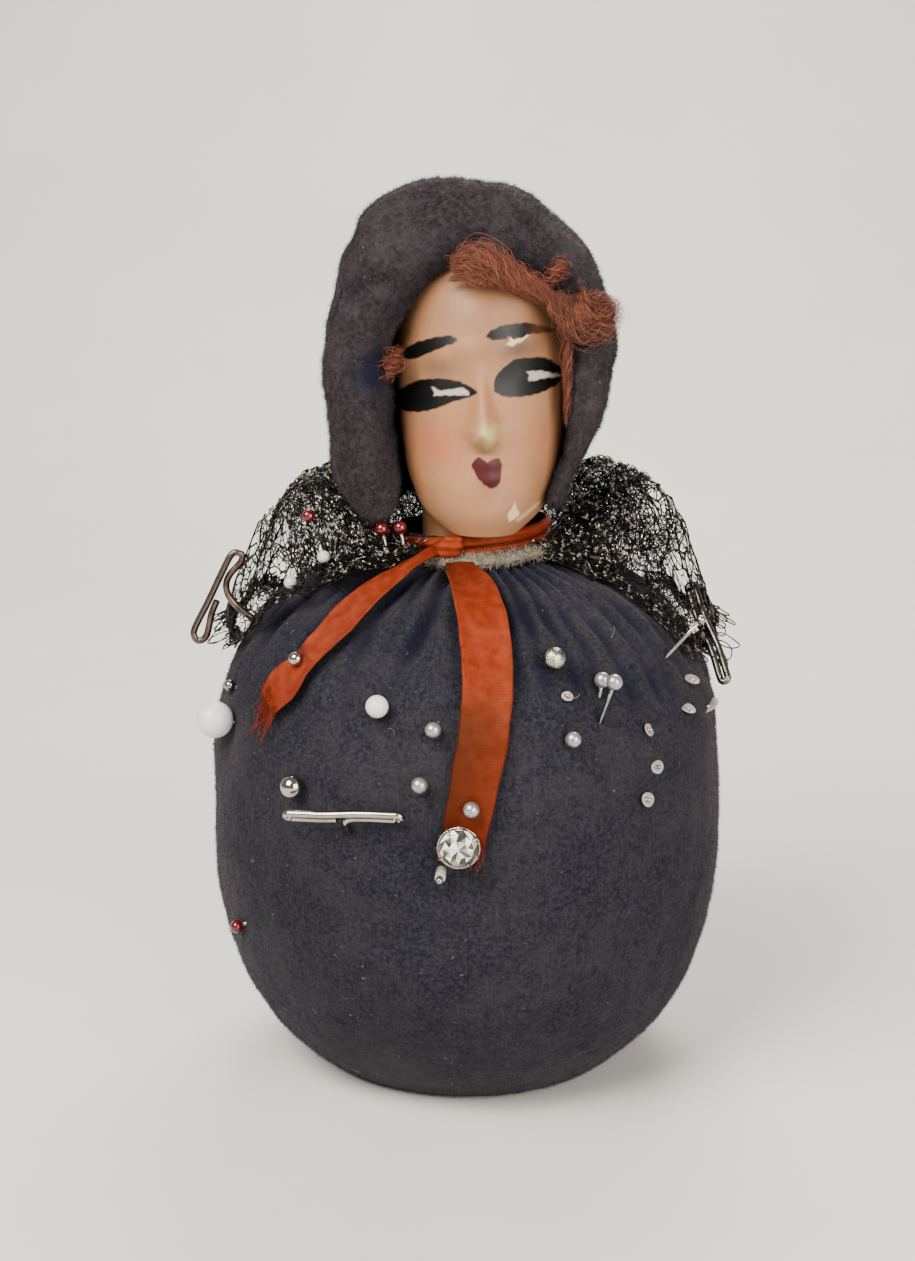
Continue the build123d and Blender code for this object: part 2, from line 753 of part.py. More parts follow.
def lace_crumple(number, place):
    """Height of the creases that cross on the crushed lace, by section round and place outwards."""
    step = number / lace_long_crumple_steps + place / lace_long_crumple_places
    cross = number / lace_short_crumple_steps - place / lace_short_crumple_places
    wave = math.sin(2 * math.pi * step) + math.sin(2 * math.pi * cross)
    part = min(1.0, lace_reach_shares[place] / lace_crumple_start_share)
    return lace_crumple_depth * part * (2 + wave) / 4


def lace_section(number, count):
    """Corners of a thin upright section of the collar, from the neck over its crest to its edge."""
    share = number / count
    inner_turn = lace_right_inner_turn + share * (lace_left_inner_turn - lace_right_inner_turn)
    outer_turn = lace_right_outer_turn + share * (lace_left_outer_turn - lace_right_outer_turn)
    lift = lace_lift(share)
    outer_radius = bag_radius - lace_lying_inset + lift * (lace_lying_inset - lace_standing_inset)
    start = at(inner_turn, lace_inner_radius, 0)
    end = at(outer_turn, outer_radius, 0)
    along = (end - start).normalized()
    ruffle = lace_ruffle_depth * math.sin(2 * math.pi * number / lace_ruffle_steps)
    neck_height = bag_height + lace_neck_lift
    middle = []
    for place, (reach, rise) in enumerate(zip(lace_reach_shares, lace_standing_shares)):
        plan = start + (end - start) * reach
        bulge = lace_front_bulge * math.exp(-((1 - share) / lace_bulge_share) ** 2)
        plan += Vector(0, -4 * bulge * reach * (1 - reach), 0)
        radius = math.hypot(plan.X, plan.Y)
        standing = neck_height + rise * (lace_rise if rise > 0 else lace_drop)
        out, up = bag_slope(bag_top_height(radius))
        lying = bag_top_height(radius) + lace_lying_gap / max(up, lace_least_slope_share)
        lying = max(lying, neck_height) if reach == 0 else lying
        height = lying + lift * (standing - lying) + ruffle * reach * lift
        middle.append(plan + Vector(0, 0, height + lace_crumple(number, place)))
    top = []
    low = []
    for place in range(len(middle)):
        tangent = middle[min(place + 1, len(middle) - 1)] - middle[max(place - 1, 0)]
        normal = Vector(0, 0, 1) * tangent.dot(along) - along * tangent.Z
        normal = normal.normalized() * (lace_thickness / 2)
        top.append(middle[place] + normal)
        low.append(middle[place] - normal)
    return top + low[::-1]


def wire_bar_room(pin):
    """The room that the bar of an upholstery pin takes as the pin is drawn out."""
    across = bar_length + 2 * (wire_radius + bore_clearance)
    wide = 2 * (wire_radius + bore_clearance)
    bottom = pin.stem - bar_pitch - wire_radius - bore_clearance
    room = Box(across, wide, lace_rise + bar_pitch, align=(Align.CENTER, Align.CENTER, Align.MIN))
    return pin.frame() * Rot(0, 0, pin.roll) * Pos(0, 0, bottom) * room


def make_lace_collar():
    """Stiff ruffled collar, open at the front, with room for the pins that go through it."""
    count = lace_ruffles * lace_ruffle_steps
    collar = skin([lace_section(number, count) for number in range(count + 1)], bent=True)
    tools = []
    for name in lace_pins:
        pin = pins[name]
        tools.append(bore(pin))
        size = pin.head_radius + bore_clearance
        low = polygon_ring(bead_sides, size, size, 0, 0, pin.stem - bore_clearance)
        high = polygon_ring(bead_sides, size, size, 0, 0, pin.stem + lace_rise)
        tools.append(pin.frame() * skin([low, high]))
        if pin.length == wire_pin:
            tools.append(wire_bar_room(pin))
    return collar.cut(*tools)


def make_ribbon_band():
    """Two folds of ribbon round the neck, with a crease between them, tilted up on one side."""
    low = band_height - band_width / 2
    high = band_height + band_width / 2
    outer = band_radius + band_thickness
    crease = (outer - band_crease, band_height)
    points = [(band_radius, low), (outer, low), crease, (outer, high), (band_radius, high)]
    return Pos(0, 0, band_height) * Rot(0, -band_tilt, 0) * Pos(0, 0, -band_height) * turned_ring(points)


def make_ribbon_knot():
    """Small flat knot on the front of the band."""
    knot = Box(knot_width, knot_depth, knot_height, align=(Align.CENTER, Align.MAX, Align.CENTER))
    knot = chamfer(knot.edges().filter_by(Axis.Y), knot_round_share * knot_height)
    knot = chamfer(knot.faces().sort_by(Axis.Y)[0].edges(), knot_depth * knot_round_share)
    reach = band_radius + band_thickness + seat_gap
    return Rot(0, 0, knot_turn) * Pos(0, -reach, band_height + knot_lift) * knot


def make_ribbon_tail(turns, height_shares, width_shares, width, names):
    """A ribbon end that follows the gathered bag, with holes for the pins stuck through it."""
    lift = ribbon_gap + ribbon_thickness / 2
    points = []
    for turn, share in zip(turns, height_shares):
        points.append(on_bag(turn, share * bag_height, lift))
    last = len(points) - 1
    rings = []
    for number, point in enumerate(points):
        along = points[min(number + 1, last)] - points[max(number - 1, 0)]
        out, up = bag_slope(height_shares[number] * bag_height)
        normal = at(turns[number], out, up)
        across = along.cross(normal).normalized()
        plane = Plane(point, x_dir=across, z_dir=across.cross(normal))
        rings.append(plane * Rectangle(width * width_shares[number], ribbon_thickness))
    return loft(rings).cut(*bores(names))


def bead(radius, bottom):
    """A round head as a stack of many-sided rings, resting at a height in its pin's frame."""
    sides = bead_sides
    shares = bead_ring_shares
    if radius > big_bead_radius:
        sides = big_bead_sides
        shares = big_bead_ring_shares
    rings = []
    for share in shares:
        size = radius * math.sqrt(1 - share * share)
        rings.append(polygon_ring(sides, size, size, 0, 0, bottom + radius * (share - shares[0])))
    return skin(rings)


def make_bead(name):
    pin = pins[name]
    return pin.frame() * bead(pin.head_radius, pin.stem)


def make_shaft(name):
    pin = pins[name]
    return pin.frame() * pin_shaft(pin, 0.0, pin.stem)


def make_bead_pin(name):
    """A headed pin in one node: the head and the shaft that it is set on."""
    return Compound(children=[make_bead(name), make_shaft(name)])


def wire_stations(pin):
    """Places along the wire in its pin's frame, as (across, out) points, with the wire's size there."""
    low = pin.stem
    middle = low + bar_pitch / 2
    half = bar_length / 2 - bar_pitch / 2
    stations = [(0.0, -pin.buried(), point_share), (0.0, point_length - pin.buried(), 1.0)]
    for step in range(wire_turn_steps + 1):
        angle = math.pi / 2 * step / wire_turn_steps
        across = bar_pitch * (1 - math.cos(angle))
        stations.append((across, low - bar_pitch * (1 - math.sin(angle)), 1.0))
    for side in (1, -1):
        for step in range(wire_turn_steps + 1):
            angle = math.pi * step / wire_turn_steps
            across = side * (half + bar_pitch / 2 * math.sin(angle))
            stations.append((across, middle - side * bar_pitch / 2 * math.cos(angle), 1.0))
    stations.append((-bar_pitch - wire_gap, low, 1.0))
    return stations


def make_wire_pin(name):
    """Upholstery pin: one wire, bent over at the top, back along its whole bar and under again."""
    pin = pins[name]
    stations = wire_stations(pin)
    last = len(stations) - 1
    rings = []
    for number, (across, out, share) in enumerate(stations):
        before = stations[max(number - 1, 0)]
        after = stations[min(number + 1, last)]
        along = Vector(after[0] - before[0], 0, after[1] - before[1])
        plane = Plane(Vector(across, 0, out), x_dir=(0, 1, 0), z_dir=along)
        ring = polygon_ring(wire_sides, wire_radius * share, wire_radius * share, 0, 0, 0)
        rings.append([plane.from_local_coords(corner) for corner in ring])
    return pin.frame() * Rot(0, 0, pin.roll) * skin(rings)


def stone_form(grow, bottom):
    rings = []
    for size, share in zip(stone_ring_shares, stone_height_shares):
        height = bottom + share * stone_height
        radius = stone_radius * size + grow
        rings.append(polygon_ring(stone_sides, radius, radius, 0, 0, height))
    return skin(rings)


def make_rhinestone(name):
    """Cut stone, pointed below and flat above its girdle."""
    pin = pins[name]
    return pin.frame() * stone_form(0.0, pin.stem + cup_wall)


def make_rhinestone_cup(name):
    """Metal cup that holds the stone, soldered to its pin."""
    pin = pins[name]
    rings = []
    for size, height in ((stone_ring_shares[0], 0.0), (1.0, cup_height * cup_rim_share), (1.0, cup_height)):
        radius = stone_radius * size + cup_wall
        rings.append(polygon_ring(stone_sides, radius, radius, 0, 0, pin.stem + height))
    cup = skin(rings) - stone_form(peg_clearance, pin.stem + cup_wall)
    return pin.frame() * (cup + pin_shaft(pin, 0.0, pin.stem))


def make_tube_bead(name):
    """Short glass tube on a pin with a small head."""
    pin = pins[name]
    low = Pos(0, 0, pin.stem)
    tube = extrude(low * RegularPolygon(tube_radius, shaft_sides), tube_length)
    tube -= extrude(low * RegularPolygon(shaft_radius + peg_clearance, shaft_sides), tube_length)
    top = pin.stem + tube_length
    shaft = pin_shaft(pin, 0.0, top) + bead(sequin_head_radius, top)
    return Compound(children=[pin.frame() * tube, pin.frame() * shaft])


def make_sequin_pin(name):
    """Clear sequin held down by a small headed pin."""
    pin = pins[name]
    low = Pos(0, 0, pin.stem)
    sequin = extrude(low * RegularPolygon(pin.head_radius, bead_sides), sequin_thickness)
    sequin -= extrude(low * RegularPolygon(shaft_radius + peg_clearance, shaft_sides), sequin_thickness)
    top = pin.stem + sequin_thickness
    shaft = pin_shaft(pin, 0.0, top) + bead(sequin_head_radius, top)
    return Compound(children=[pin.frame() * sequin, pin.frame() * shaft])


def make_parts():
    """Every sub-part by its node name."""
    parts = {
        "velvet_bag": make_velvet_bag(),
        "stuffing": make_stuffing(),
        "base_cover": make_base_cover(),
        "base_card": make_base_card(),
        "head": make_head(),
        "neck_peg": make_neck_peg(),
        "gathering_thread": make_gathering_thread(),
        "neck_tape": make_neck_tape(),
        "hood_roll": make_hood_roll(),
        "hood_crown": make_hood_crown(),
        "hood_wadding": make_hood_wadding(),
        "hair_fringe": make_front_hair(),
        "hair_tuft": make_hair_lock(tuft_x_shares, tuft_z_shares, tuft_reach_shares, tuft_size_shares),
        "lace_collar": make_lace_collar(),
        "ribbon_band": make_ribbon_band(),
        "ribbon_knot": make_ribbon_knot(),
        "ribbon_front_tail": make_ribbon_tail(front_tail_turns, front_tail_height_shares,
                                              front_tail_width_shares, ribbon_width, front_ribbon_pins),
        "ribbon_side_tail": make_ribbon_tail(side_tail_turns, side_tail_height_shares,
                                             side_tail_width_shares, side_ribbon_width, side_ribbon_pins),
    }
    for name in pins:
        if name.startswith(("pearl", "white")) or name in ("steel_pin_left", "steel_pin_right"):
            parts[name + "_head"] = make_bead(name)
            parts[name + "_shaft"] = make_shaft(name)
        elif name.startswith("wire"):
            parts[name] = make_wire_pin(name)
        elif name.startswith("rhinestone"):
            parts["rhinestone"] = make_rhinestone(name)
            parts[name] = make_rhinestone_cup(name)
        elif name.startswith("tube"):
            parts[name] = make_tube_bead(name)
        elif name.startswith("sequin"):
            parts[name] = make_sequin_pin(name)
        else:
            parts[name] = make_bead_pin(name)
    return parts


os.makedirs("parts", exist_ok=True)
for node, part in make_parts().items():
    export_step(part, f"parts/{node}.step")
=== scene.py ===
"""Doll pincushion: velvet bag, painted head, padded hood, mohair, metal lace, satin ribbon and pins.

Every length is in millimetres until a mesh is made. +Z is up, the face looks along -Y, and a turn is an
angle in degrees about Z, from the front towards +X.
"""

import json
import logging
import math
from collections.abc import Callable, Sequence
from dataclasses import dataclass, field
from enum import Enum

import bpy
import numpy as np
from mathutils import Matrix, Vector


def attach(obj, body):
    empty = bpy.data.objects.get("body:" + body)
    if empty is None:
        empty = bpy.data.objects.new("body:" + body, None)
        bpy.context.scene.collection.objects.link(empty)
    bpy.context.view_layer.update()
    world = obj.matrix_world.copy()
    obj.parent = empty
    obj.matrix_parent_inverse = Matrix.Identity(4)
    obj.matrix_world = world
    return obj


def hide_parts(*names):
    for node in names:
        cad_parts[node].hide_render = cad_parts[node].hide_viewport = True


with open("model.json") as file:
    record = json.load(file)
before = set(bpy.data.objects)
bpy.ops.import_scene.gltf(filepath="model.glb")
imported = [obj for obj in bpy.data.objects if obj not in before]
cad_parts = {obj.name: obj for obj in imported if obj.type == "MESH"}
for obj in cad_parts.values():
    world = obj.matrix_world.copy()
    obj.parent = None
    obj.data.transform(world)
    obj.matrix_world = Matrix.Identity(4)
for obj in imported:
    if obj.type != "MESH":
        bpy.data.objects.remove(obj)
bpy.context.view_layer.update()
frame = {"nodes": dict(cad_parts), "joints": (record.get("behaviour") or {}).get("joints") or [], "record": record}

Array = np.ndarray
Random = np.random.Generator
Material = bpy.types.Material
Colour = tuple[float, float, float]
Outline = tuple[tuple[float, float], ...]
norm = np.linalg.norm
MM = 0.001
TURN = 2 * math.pi
CUSHION = "cushion"
log = logging.getLogger("pincushion")


# Arithmetic on whole arrays


def smooth_curve(at: Array, knots: Sequence[float], values: Sequence) -> Array:
    """Cubic curve through values at knots, with slopes taken from the neighbours.

    Args:
        at: places to read, in the knots' units.
        knots: rising places of the values.
        values: one number or one point for each knot.

    Returns:
        The curve's values, with one row per place for points.
    """
    knot = np.asarray(knots, float)
    value = np.asarray(values, float)
    slope = np.gradient(value, knot, axis=0)
    place = np.asarray(at, float)
    low = np.clip(np.searchsorted(knot, place) - 1, 0, len(knot) - 2)
    span = knot[low + 1] - knot[low]
    part = (place - knot[low]) / span
    if value.ndim > 1:
        part = part[..., None]
        span = span[..., None]
    square, cube = part**2, part**3
    return (
        (2 * cube - 3 * square + 1) * value[low]
        + (cube - 2 * square + part) * span * slope[low]
        + (3 * square - 2 * cube) * value[low + 1]
        + (cube - square) * span * slope[low + 1]
    )


def along(values: Sequence, at: Array) -> Array:
    """The smooth curve through evenly spaced values, read at shares from 0 to 1."""
    return smooth_curve(at, even(len(values)), values)


def ramp(at: Array, low: float, high: float) -> Array:
    """0 below low, 1 above high and an S-curve between; it falls when low is above high."""
    part = np.clip((np.asarray(at, float) - low) / (high - low), 0, 1)
    return part * part * (3 - 2 * part)


def hill(at: Array, wide: float) -> Array:
    """Bell curve: 1 at zero, fading over a width."""
    return np.exp(-((at / wide) ** 2))


def unit(vectors: Array) -> Array:
    """Vectors scaled to length 1."""
    return vectors / np.maximum(norm(vectors, axis=-1, keepdims=True), 1e-9)


def waves(points: Array, size: float, seed: int, count: int = 14) -> Array:
    """Smooth uneven field: a sum of sine waves of about one size in random directions.

    Args:
        points: places in mm, in the last axis.
        size: usual length of a wave in mm.
        seed: what fixes the random directions.
        count: how many waves are summed.

    Returns:
        Values that spread evenly about zero, mostly between -1 and 1.
    """
    rng = np.random.default_rng(seed)
    heading = unit(rng.normal(size=(count, 3))) * (TURN / size) * rng.uniform(0.6, 1.5, (count, 1))
    phase = rng.uniform(0, TURN, count)
    return np.sin(points @ heading.T + phase).sum(-1) / math.sqrt(count * 2)


def joined(*parts: Array | float) -> Array:
    """Points from their separate coordinates."""
    return np.stack(np.broadcast_arrays(*parts), -1)


def even(count: int) -> Array:
    """Evenly spaced shares from 0 to 1."""
    return np.linspace(0, 1, count)


def at_turn(turn: Array, radius: Array, height: Array) -> Array:
    """Points at turns in degrees about Z, radii and heights."""
    angle = np.radians(turn)
    return joined(radius * np.sin(angle), -radius * np.cos(angle), height)


def circle(count: int, first: float = 0.0) -> Array:
    """Angles evenly spaced round one turn."""
    return first + np.linspace(0, TURN, count, endpoint=False)


def spokes(angle: Array, first: Array, second: Array) -> Array:
    """Directions at angles between two directions that are square to each other."""
    return np.cos(angle)[:, None] * first + np.sin(angle)[:, None] * second


def walked(points: Array) -> Array:
    """The length walked along a path up to each of its points."""
    return np.concatenate([[0.0], np.cumsum(norm(np.diff(points, axis=0), axis=-1))])


def cloth_of(grid: Array) -> Array:
    """Places on the cloth for a grid: the mean lengths walked along its columns and its rows, in mm."""
    up = norm(np.diff(grid, axis=0), axis=-1).mean(1)
    over = norm(np.diff(grid, axis=1), axis=-1).max(0)
    high = np.concatenate([[0.0], np.cumsum(up)])
    wide = np.concatenate([[0.0], np.cumsum(over)])
    return joined(wide[None], high[:, None])


def grid_normals(grid: Array) -> Array:
    """Unit normals of a grid of points whose rows go up and columns go round."""
    up = np.gradient(grid, axis=0)
    round_it = np.gradient(grid, axis=1)
    return unit(np.cross(round_it, up))


def ring_normals(grid: Array) -> Array:
    """Unit normals of a grid that closes round its columns."""
    return grid_normals(np.concatenate([grid, grid[:, :2]], axis=1))[:, : grid.shape[1]]


def quads(rows: int, columns: int, wrap: bool) -> Array:
    """Corner numbers of the faces of a grid, facing outward when columns go round and rows go up."""
    low = np.arange(rows - 1)[:, None] * columns
    column = np.arange(columns if wrap else columns - 1)[None, :]
    after = (column + 1) % columns
    return joined(low + column, low + after, low + columns + after, low + columns + column).reshape(-1, 4)


def inside(x: Array, z: Array, outline: Outline, soft: float) -> Array:
    """How far points lie inside a closed outline, as 1 inside, 0 outside and a soft edge between.

    The signed distance is the least distance to the outline's sides, with its sign from crossing counts.
    """
    corner = np.asarray(outline, float)
    after = np.roll(corner, -1, axis=0)
    nearest = np.full(x.shape, 1e9)
    odd = np.zeros(x.shape, bool)
    for (ax, az), (bx, bz) in zip(corner, after):
        wide, tall = bx - ax, bz - az
        part = np.clip(((x - ax) * wide + (z - az) * tall) / (wide**2 + tall**2 + 1e-12), 0, 1)
        nearest = np.minimum(nearest, np.hypot(x - ax - part * wide, z - az - part * tall))
        crosses = (az > z) != (bz > z)
        odd ^= crosses & (x < ax + wide * (z - az) / (tall if abs(tall) > 1e-9 else 1e-9))
    return ramp(np.where(odd, nearest, -nearest), -soft, soft)


def rounded(outline: Outline, count: int = 60) -> Outline:
    """A closed outline rounded by a smooth curve through its corners."""
    points = np.asarray(outline, float)
    looped = np.concatenate([points[-2:], points, points[:3]])
    at = np.linspace(0, len(points), count, endpoint=False)
    return tuple(map(tuple, smooth_curve(at, np.arange(len(looped)) - 2, looped)))


def inside_any(x: Array, z: Array, outlines: Sequence[Outline], soft: float) -> Array:
    """How far points lie inside any of several outlines, once these are rounded."""
    return np.max([inside(x, z, rounded(outline), soft) for outline in outlines], axis=0)


def bells(x: Array, z: Array, table: Sequence[tuple[float, float, float, float, float]]) -> Array:
    """Sum of bells, each with its height, its middle's x and z, its width over its height, and its size."""
    return sum(high * hill(np.hypot((x - mid_x) / wide, z - mid_z), size)
               for high, mid_x, mid_z, wide, size in table)


# Meshes


@dataclass
class Skin:
    """Gathers surfaces and threads as arrays and makes one mesh of them."""

    points: list[Array] = field(default_factory=list)
    four: list[Array] = field(default_factory=list)
    three: list[Array] = field(default_factory=list)
    marks: dict[str, list[Array]] = field(default_factory=dict)
    spots: list[Array] = field(default_factory=list)
    count: int = 0

    def add(self, points: Array, four: Array | None = None, three: Array | None = None,
            spot: Array | None = None, **marks: Array) -> None:
        """Adds points, faces that count from 0, a place on the cloth and named values per point."""
        flat = points.reshape(-1, 3)
        if four is not None:
            self.four.append(four + self.count)
        if three is not None:
            self.three.append(three + self.count)
        self.points.append(flat)
        self.spots.append(np.zeros((len(flat), 2)) if spot is None else spot.reshape(-1, 2))
        for name in set(marks) | set(self.marks):
            held = self.marks.setdefault(name, [np.zeros(self.count)] if self.count else [])
            value = np.asarray(marks.get(name, 0.0), float)
            held.append(np.broadcast_to(value.reshape(-1) if value.ndim else value, len(flat)))
        self.count += len(flat)

    def fan(self, first: int, order: Array, after: Array, middle: Array, **marks: float) -> None:
        """Closes a row, whose corners count on from first, with triangles to a point in its middle."""
        self.three.append(np.stack([first + order, first + after, np.full(len(order), self.count)], -1))
        self.add(middle[None], **marks)

    def add_grid(self, grid: Array, wrap: bool = True, caps: bool = False, **marks: Array) -> None:
        """Adds a grid of points, closed round its columns if wrap, with fans over both ends if caps."""
        rows, columns = grid.shape[:2]
        start = self.count
        self.add(grid, quads(rows, columns, wrap), **marks)
        if not caps:
            return
        ring = np.arange(columns)
        after = (ring + 1) % columns
        for row, order, following in ((0, after, ring), (rows - 1, ring, after)):
            means = {k: np.asarray(v)[row].mean() for k, v in marks.items() if np.ndim(v) > 1 and k != "spot"}
            self.fan(start + row * columns, order, following, grid[row].mean(0), **means)

    def add_threads(self, paths: Array, radius: Array | float, sides: int = 4, loop: bool = False,
                    lean: Sequence[float] = (0.31, 0.52, 0.79), **marks: Array) -> None:
        """Adds round threads along many paths of equal count.

        A ring of corners stands square to each path at each point: centre + radius (cos a n + sin a b),
        where n and b are the tangent's cross products with a leaning direction.

        Args:
            paths: array of (thread, point, 3) in mm.
            radius: one radius, or one for each thread and point.
            sides: corners in a ring.
            loop: whether each path closes on itself.
            lean: direction that no tangent should follow closely.
            marks: named values, one for each thread and point.
        """
        paths = paths if paths.ndim == 3 else paths[None]
        many, count = paths.shape[:2]
        if loop:
            tangent = unit(np.roll(paths, -1, axis=1) - np.roll(paths, 1, axis=1))
        else:
            tangent = unit(np.gradient(paths, axis=1))
        side = unit(np.cross(tangent, np.asarray(lean, float)))
        other = np.cross(tangent, side)
        size = np.broadcast_to(np.asarray(radius, float), (many, count))[..., None, None]
        angle = circle(sides)
        rings = (
            paths[:, :, None]
            + size * np.cos(angle)[:, None] * side[:, :, None]
            + size * np.sin(angle)[:, None] * other[:, :, None]
        )
        if loop:
            rings = np.concatenate([rings, rings[:, :1]], axis=1)
            count += 1
        base = quads(count, sides, True)
        four = base[None] + (np.arange(many) * count * sides)[:, None, None]
        spread = {}
        for name, value in marks.items():
            value = np.broadcast_to(np.asarray(value, float), paths.shape[:2])
            if loop:
                value = np.concatenate([value, value[:, :1]], axis=1)
            spread[name] = np.repeat(value[..., None], sides, axis=-1)
        self.add(rings, four.reshape(-1, 4), **spread)

    def build(self, name: str, material: Material, smooth: bool = True) -> bpy.types.Object:
        """Makes the object, in metres, with marks as point attributes and places on the cloth as a UV map."""
        points = np.concatenate(self.points)
        faces: list[list[int]] = []
        for group in self.four + self.three:
            faces.extend(group.tolist())
        mesh = bpy.data.meshes.new(name)
        mesh.from_pydata((points * MM).tolist(), [], faces)
        mesh.polygons.foreach_set("use_smooth", np.full(len(faces), smooth))
        for mark, values in self.marks.items():
            held = mesh.attributes.new(mark, "FLOAT", "POINT")
            held.data.foreach_set("value", np.concatenate(values).astype(np.float32))
        spots = np.concatenate(self.spots)
        if spots.any():
            corner = np.zeros(len(mesh.loops), np.int32)
            mesh.loops.foreach_get("vertex_index", corner)
            mesh.uv_layers.new(name="cloth").data.foreach_set("uv", spots[corner].astype(np.float32).ravel())
        mesh.materials.append(material)
        mesh.update()
        made = bpy.data.objects.new(name, mesh)
        bpy.context.scene.collection.objects.link(made)
        return made

    def settle(self, name: str, material: Material, slot: str, *nodes: str,
               body: str = CUSHION, smooth: bool = True) -> bpy.types.Object:
        """Makes the object, ties it to its body and hides the CAD nodes that it stands for."""
        piece = self.build(name, material, smooth)
        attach(piece, body)
        if nodes:
            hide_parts(*nodes)
        log.info("%s: %d faces", name, len(piece.data.polygons))
        return piece


def scatter(grid: Array, count: int, rng: Random, wrap: bool) -> tuple[Array, Array, Array]:
    """Random places on a grid's faces, spread by area.

    Returns:
        The points, their outward normals and their row shares from 0 to 1.
    """
    full = np.concatenate([grid, grid[:, :1]], axis=1) if wrap else grid
    a, b, c, d = full[:-1, :-1], full[:-1, 1:], full[1:, 1:], full[1:, :-1]
    cross = np.cross(b - a, d - a)
    area = norm(cross, axis=-1)
    pick = rng.choice(area.size, count, p=(area / area.sum()).ravel())
    row, column = np.unravel_index(pick, area.shape)
    u, v = rng.random((2, count, 1))
    low = a[row, column] * (1 - u) + b[row, column] * u
    high = d[row, column] * (1 - u) + c[row, column] * u
    return low * (1 - v) + high * v, unit(cross[row, column]), row / area.shape[0]


def pile_of(points: Array, normals: Array, length: float, width: float, comb: Array,
            rng: Random) -> tuple[Array, Array]:
    """Short fibres, each one tapered triangle that leans with the comb, its tuft and a little at random.

    Returns:
        The corners, three to a fibre, and the tip value of each: 0 at its root and up to 1.6 at its end.
    """
    count = len(points)
    tuft = np.stack([waves(points, 1.5, seed) for seed in (21, 22, 23)], -1)
    lean = unit(normals + 0.5 * comb + 0.55 * tuft + rng.normal(0, 0.3, (count, 3)))
    side = unit(np.cross(lean, rng.normal(size=(count, 3)))) * width / 2
    reach = length * rng.uniform(0.55, 1.2, (count, 1))
    root = points - normals * 0.1
    corners = np.stack([root - side, root + side, points + lean * reach], axis=1)
    return corners, np.tile([0.0, 0.0, 1.0], count) * np.repeat(rng.random(count) ** 1.5 * 1.6, 3)


def pile_skin(corners: Array, tip: Array, rng: Random, **marks: Array) -> Skin:
    """Fibres as one skin, with the marks given one to a fibre and a random strand value for each."""
    count = len(corners)
    marks["strand"] = ramp(rng.random(count), 0.6, 1.0) * 0.9
    skin = Skin()
    skin.add(corners, three=np.arange(3 * count).reshape(-1, 3), tip=tip,
             **{name: np.repeat(value, 3) for name, value in marks.items()})
    return skin


# Shaders


def joining(operation: str, reflected: bool = False) -> Callable[["Shade", "Shade | float"], "Shade"]:
    """The method behind an operator: one Math node on a shader value and another value or number."""
    def join(left: "Shade", right: "Shade | float") -> "Shade":
        """The Math node's result, with its sides swapped for a reflected operator."""
        return left.sheet.math(operation, *((right, left) if reflected else (left, right)))

    return join


@dataclass
class Shade:
    """A shader value that takes part in Python arithmetic."""

    sheet: "Sheet"
    socket: bpy.types.NodeSocket

    __add__ = joining("ADD")
    __radd__ = joining("ADD", True)
    __sub__ = joining("SUBTRACT")
    __rsub__ = joining("SUBTRACT", True)
    __mul__ = joining("MULTIPLY")
    __rmul__ = joining("MULTIPLY", True)

    def between(self, low: float, high: float) -> "Shade":
        """Smooth step from 0 at low to 1 at high."""
        return self.sheet.value(
            "ShaderNodeMapRange", {"interpolation_type": "SMOOTHSTEP", "clamp": True},
            {"Value": self, "From Min": low, "From Max": high, "To Min": 0.0, "To Max": 1.0})


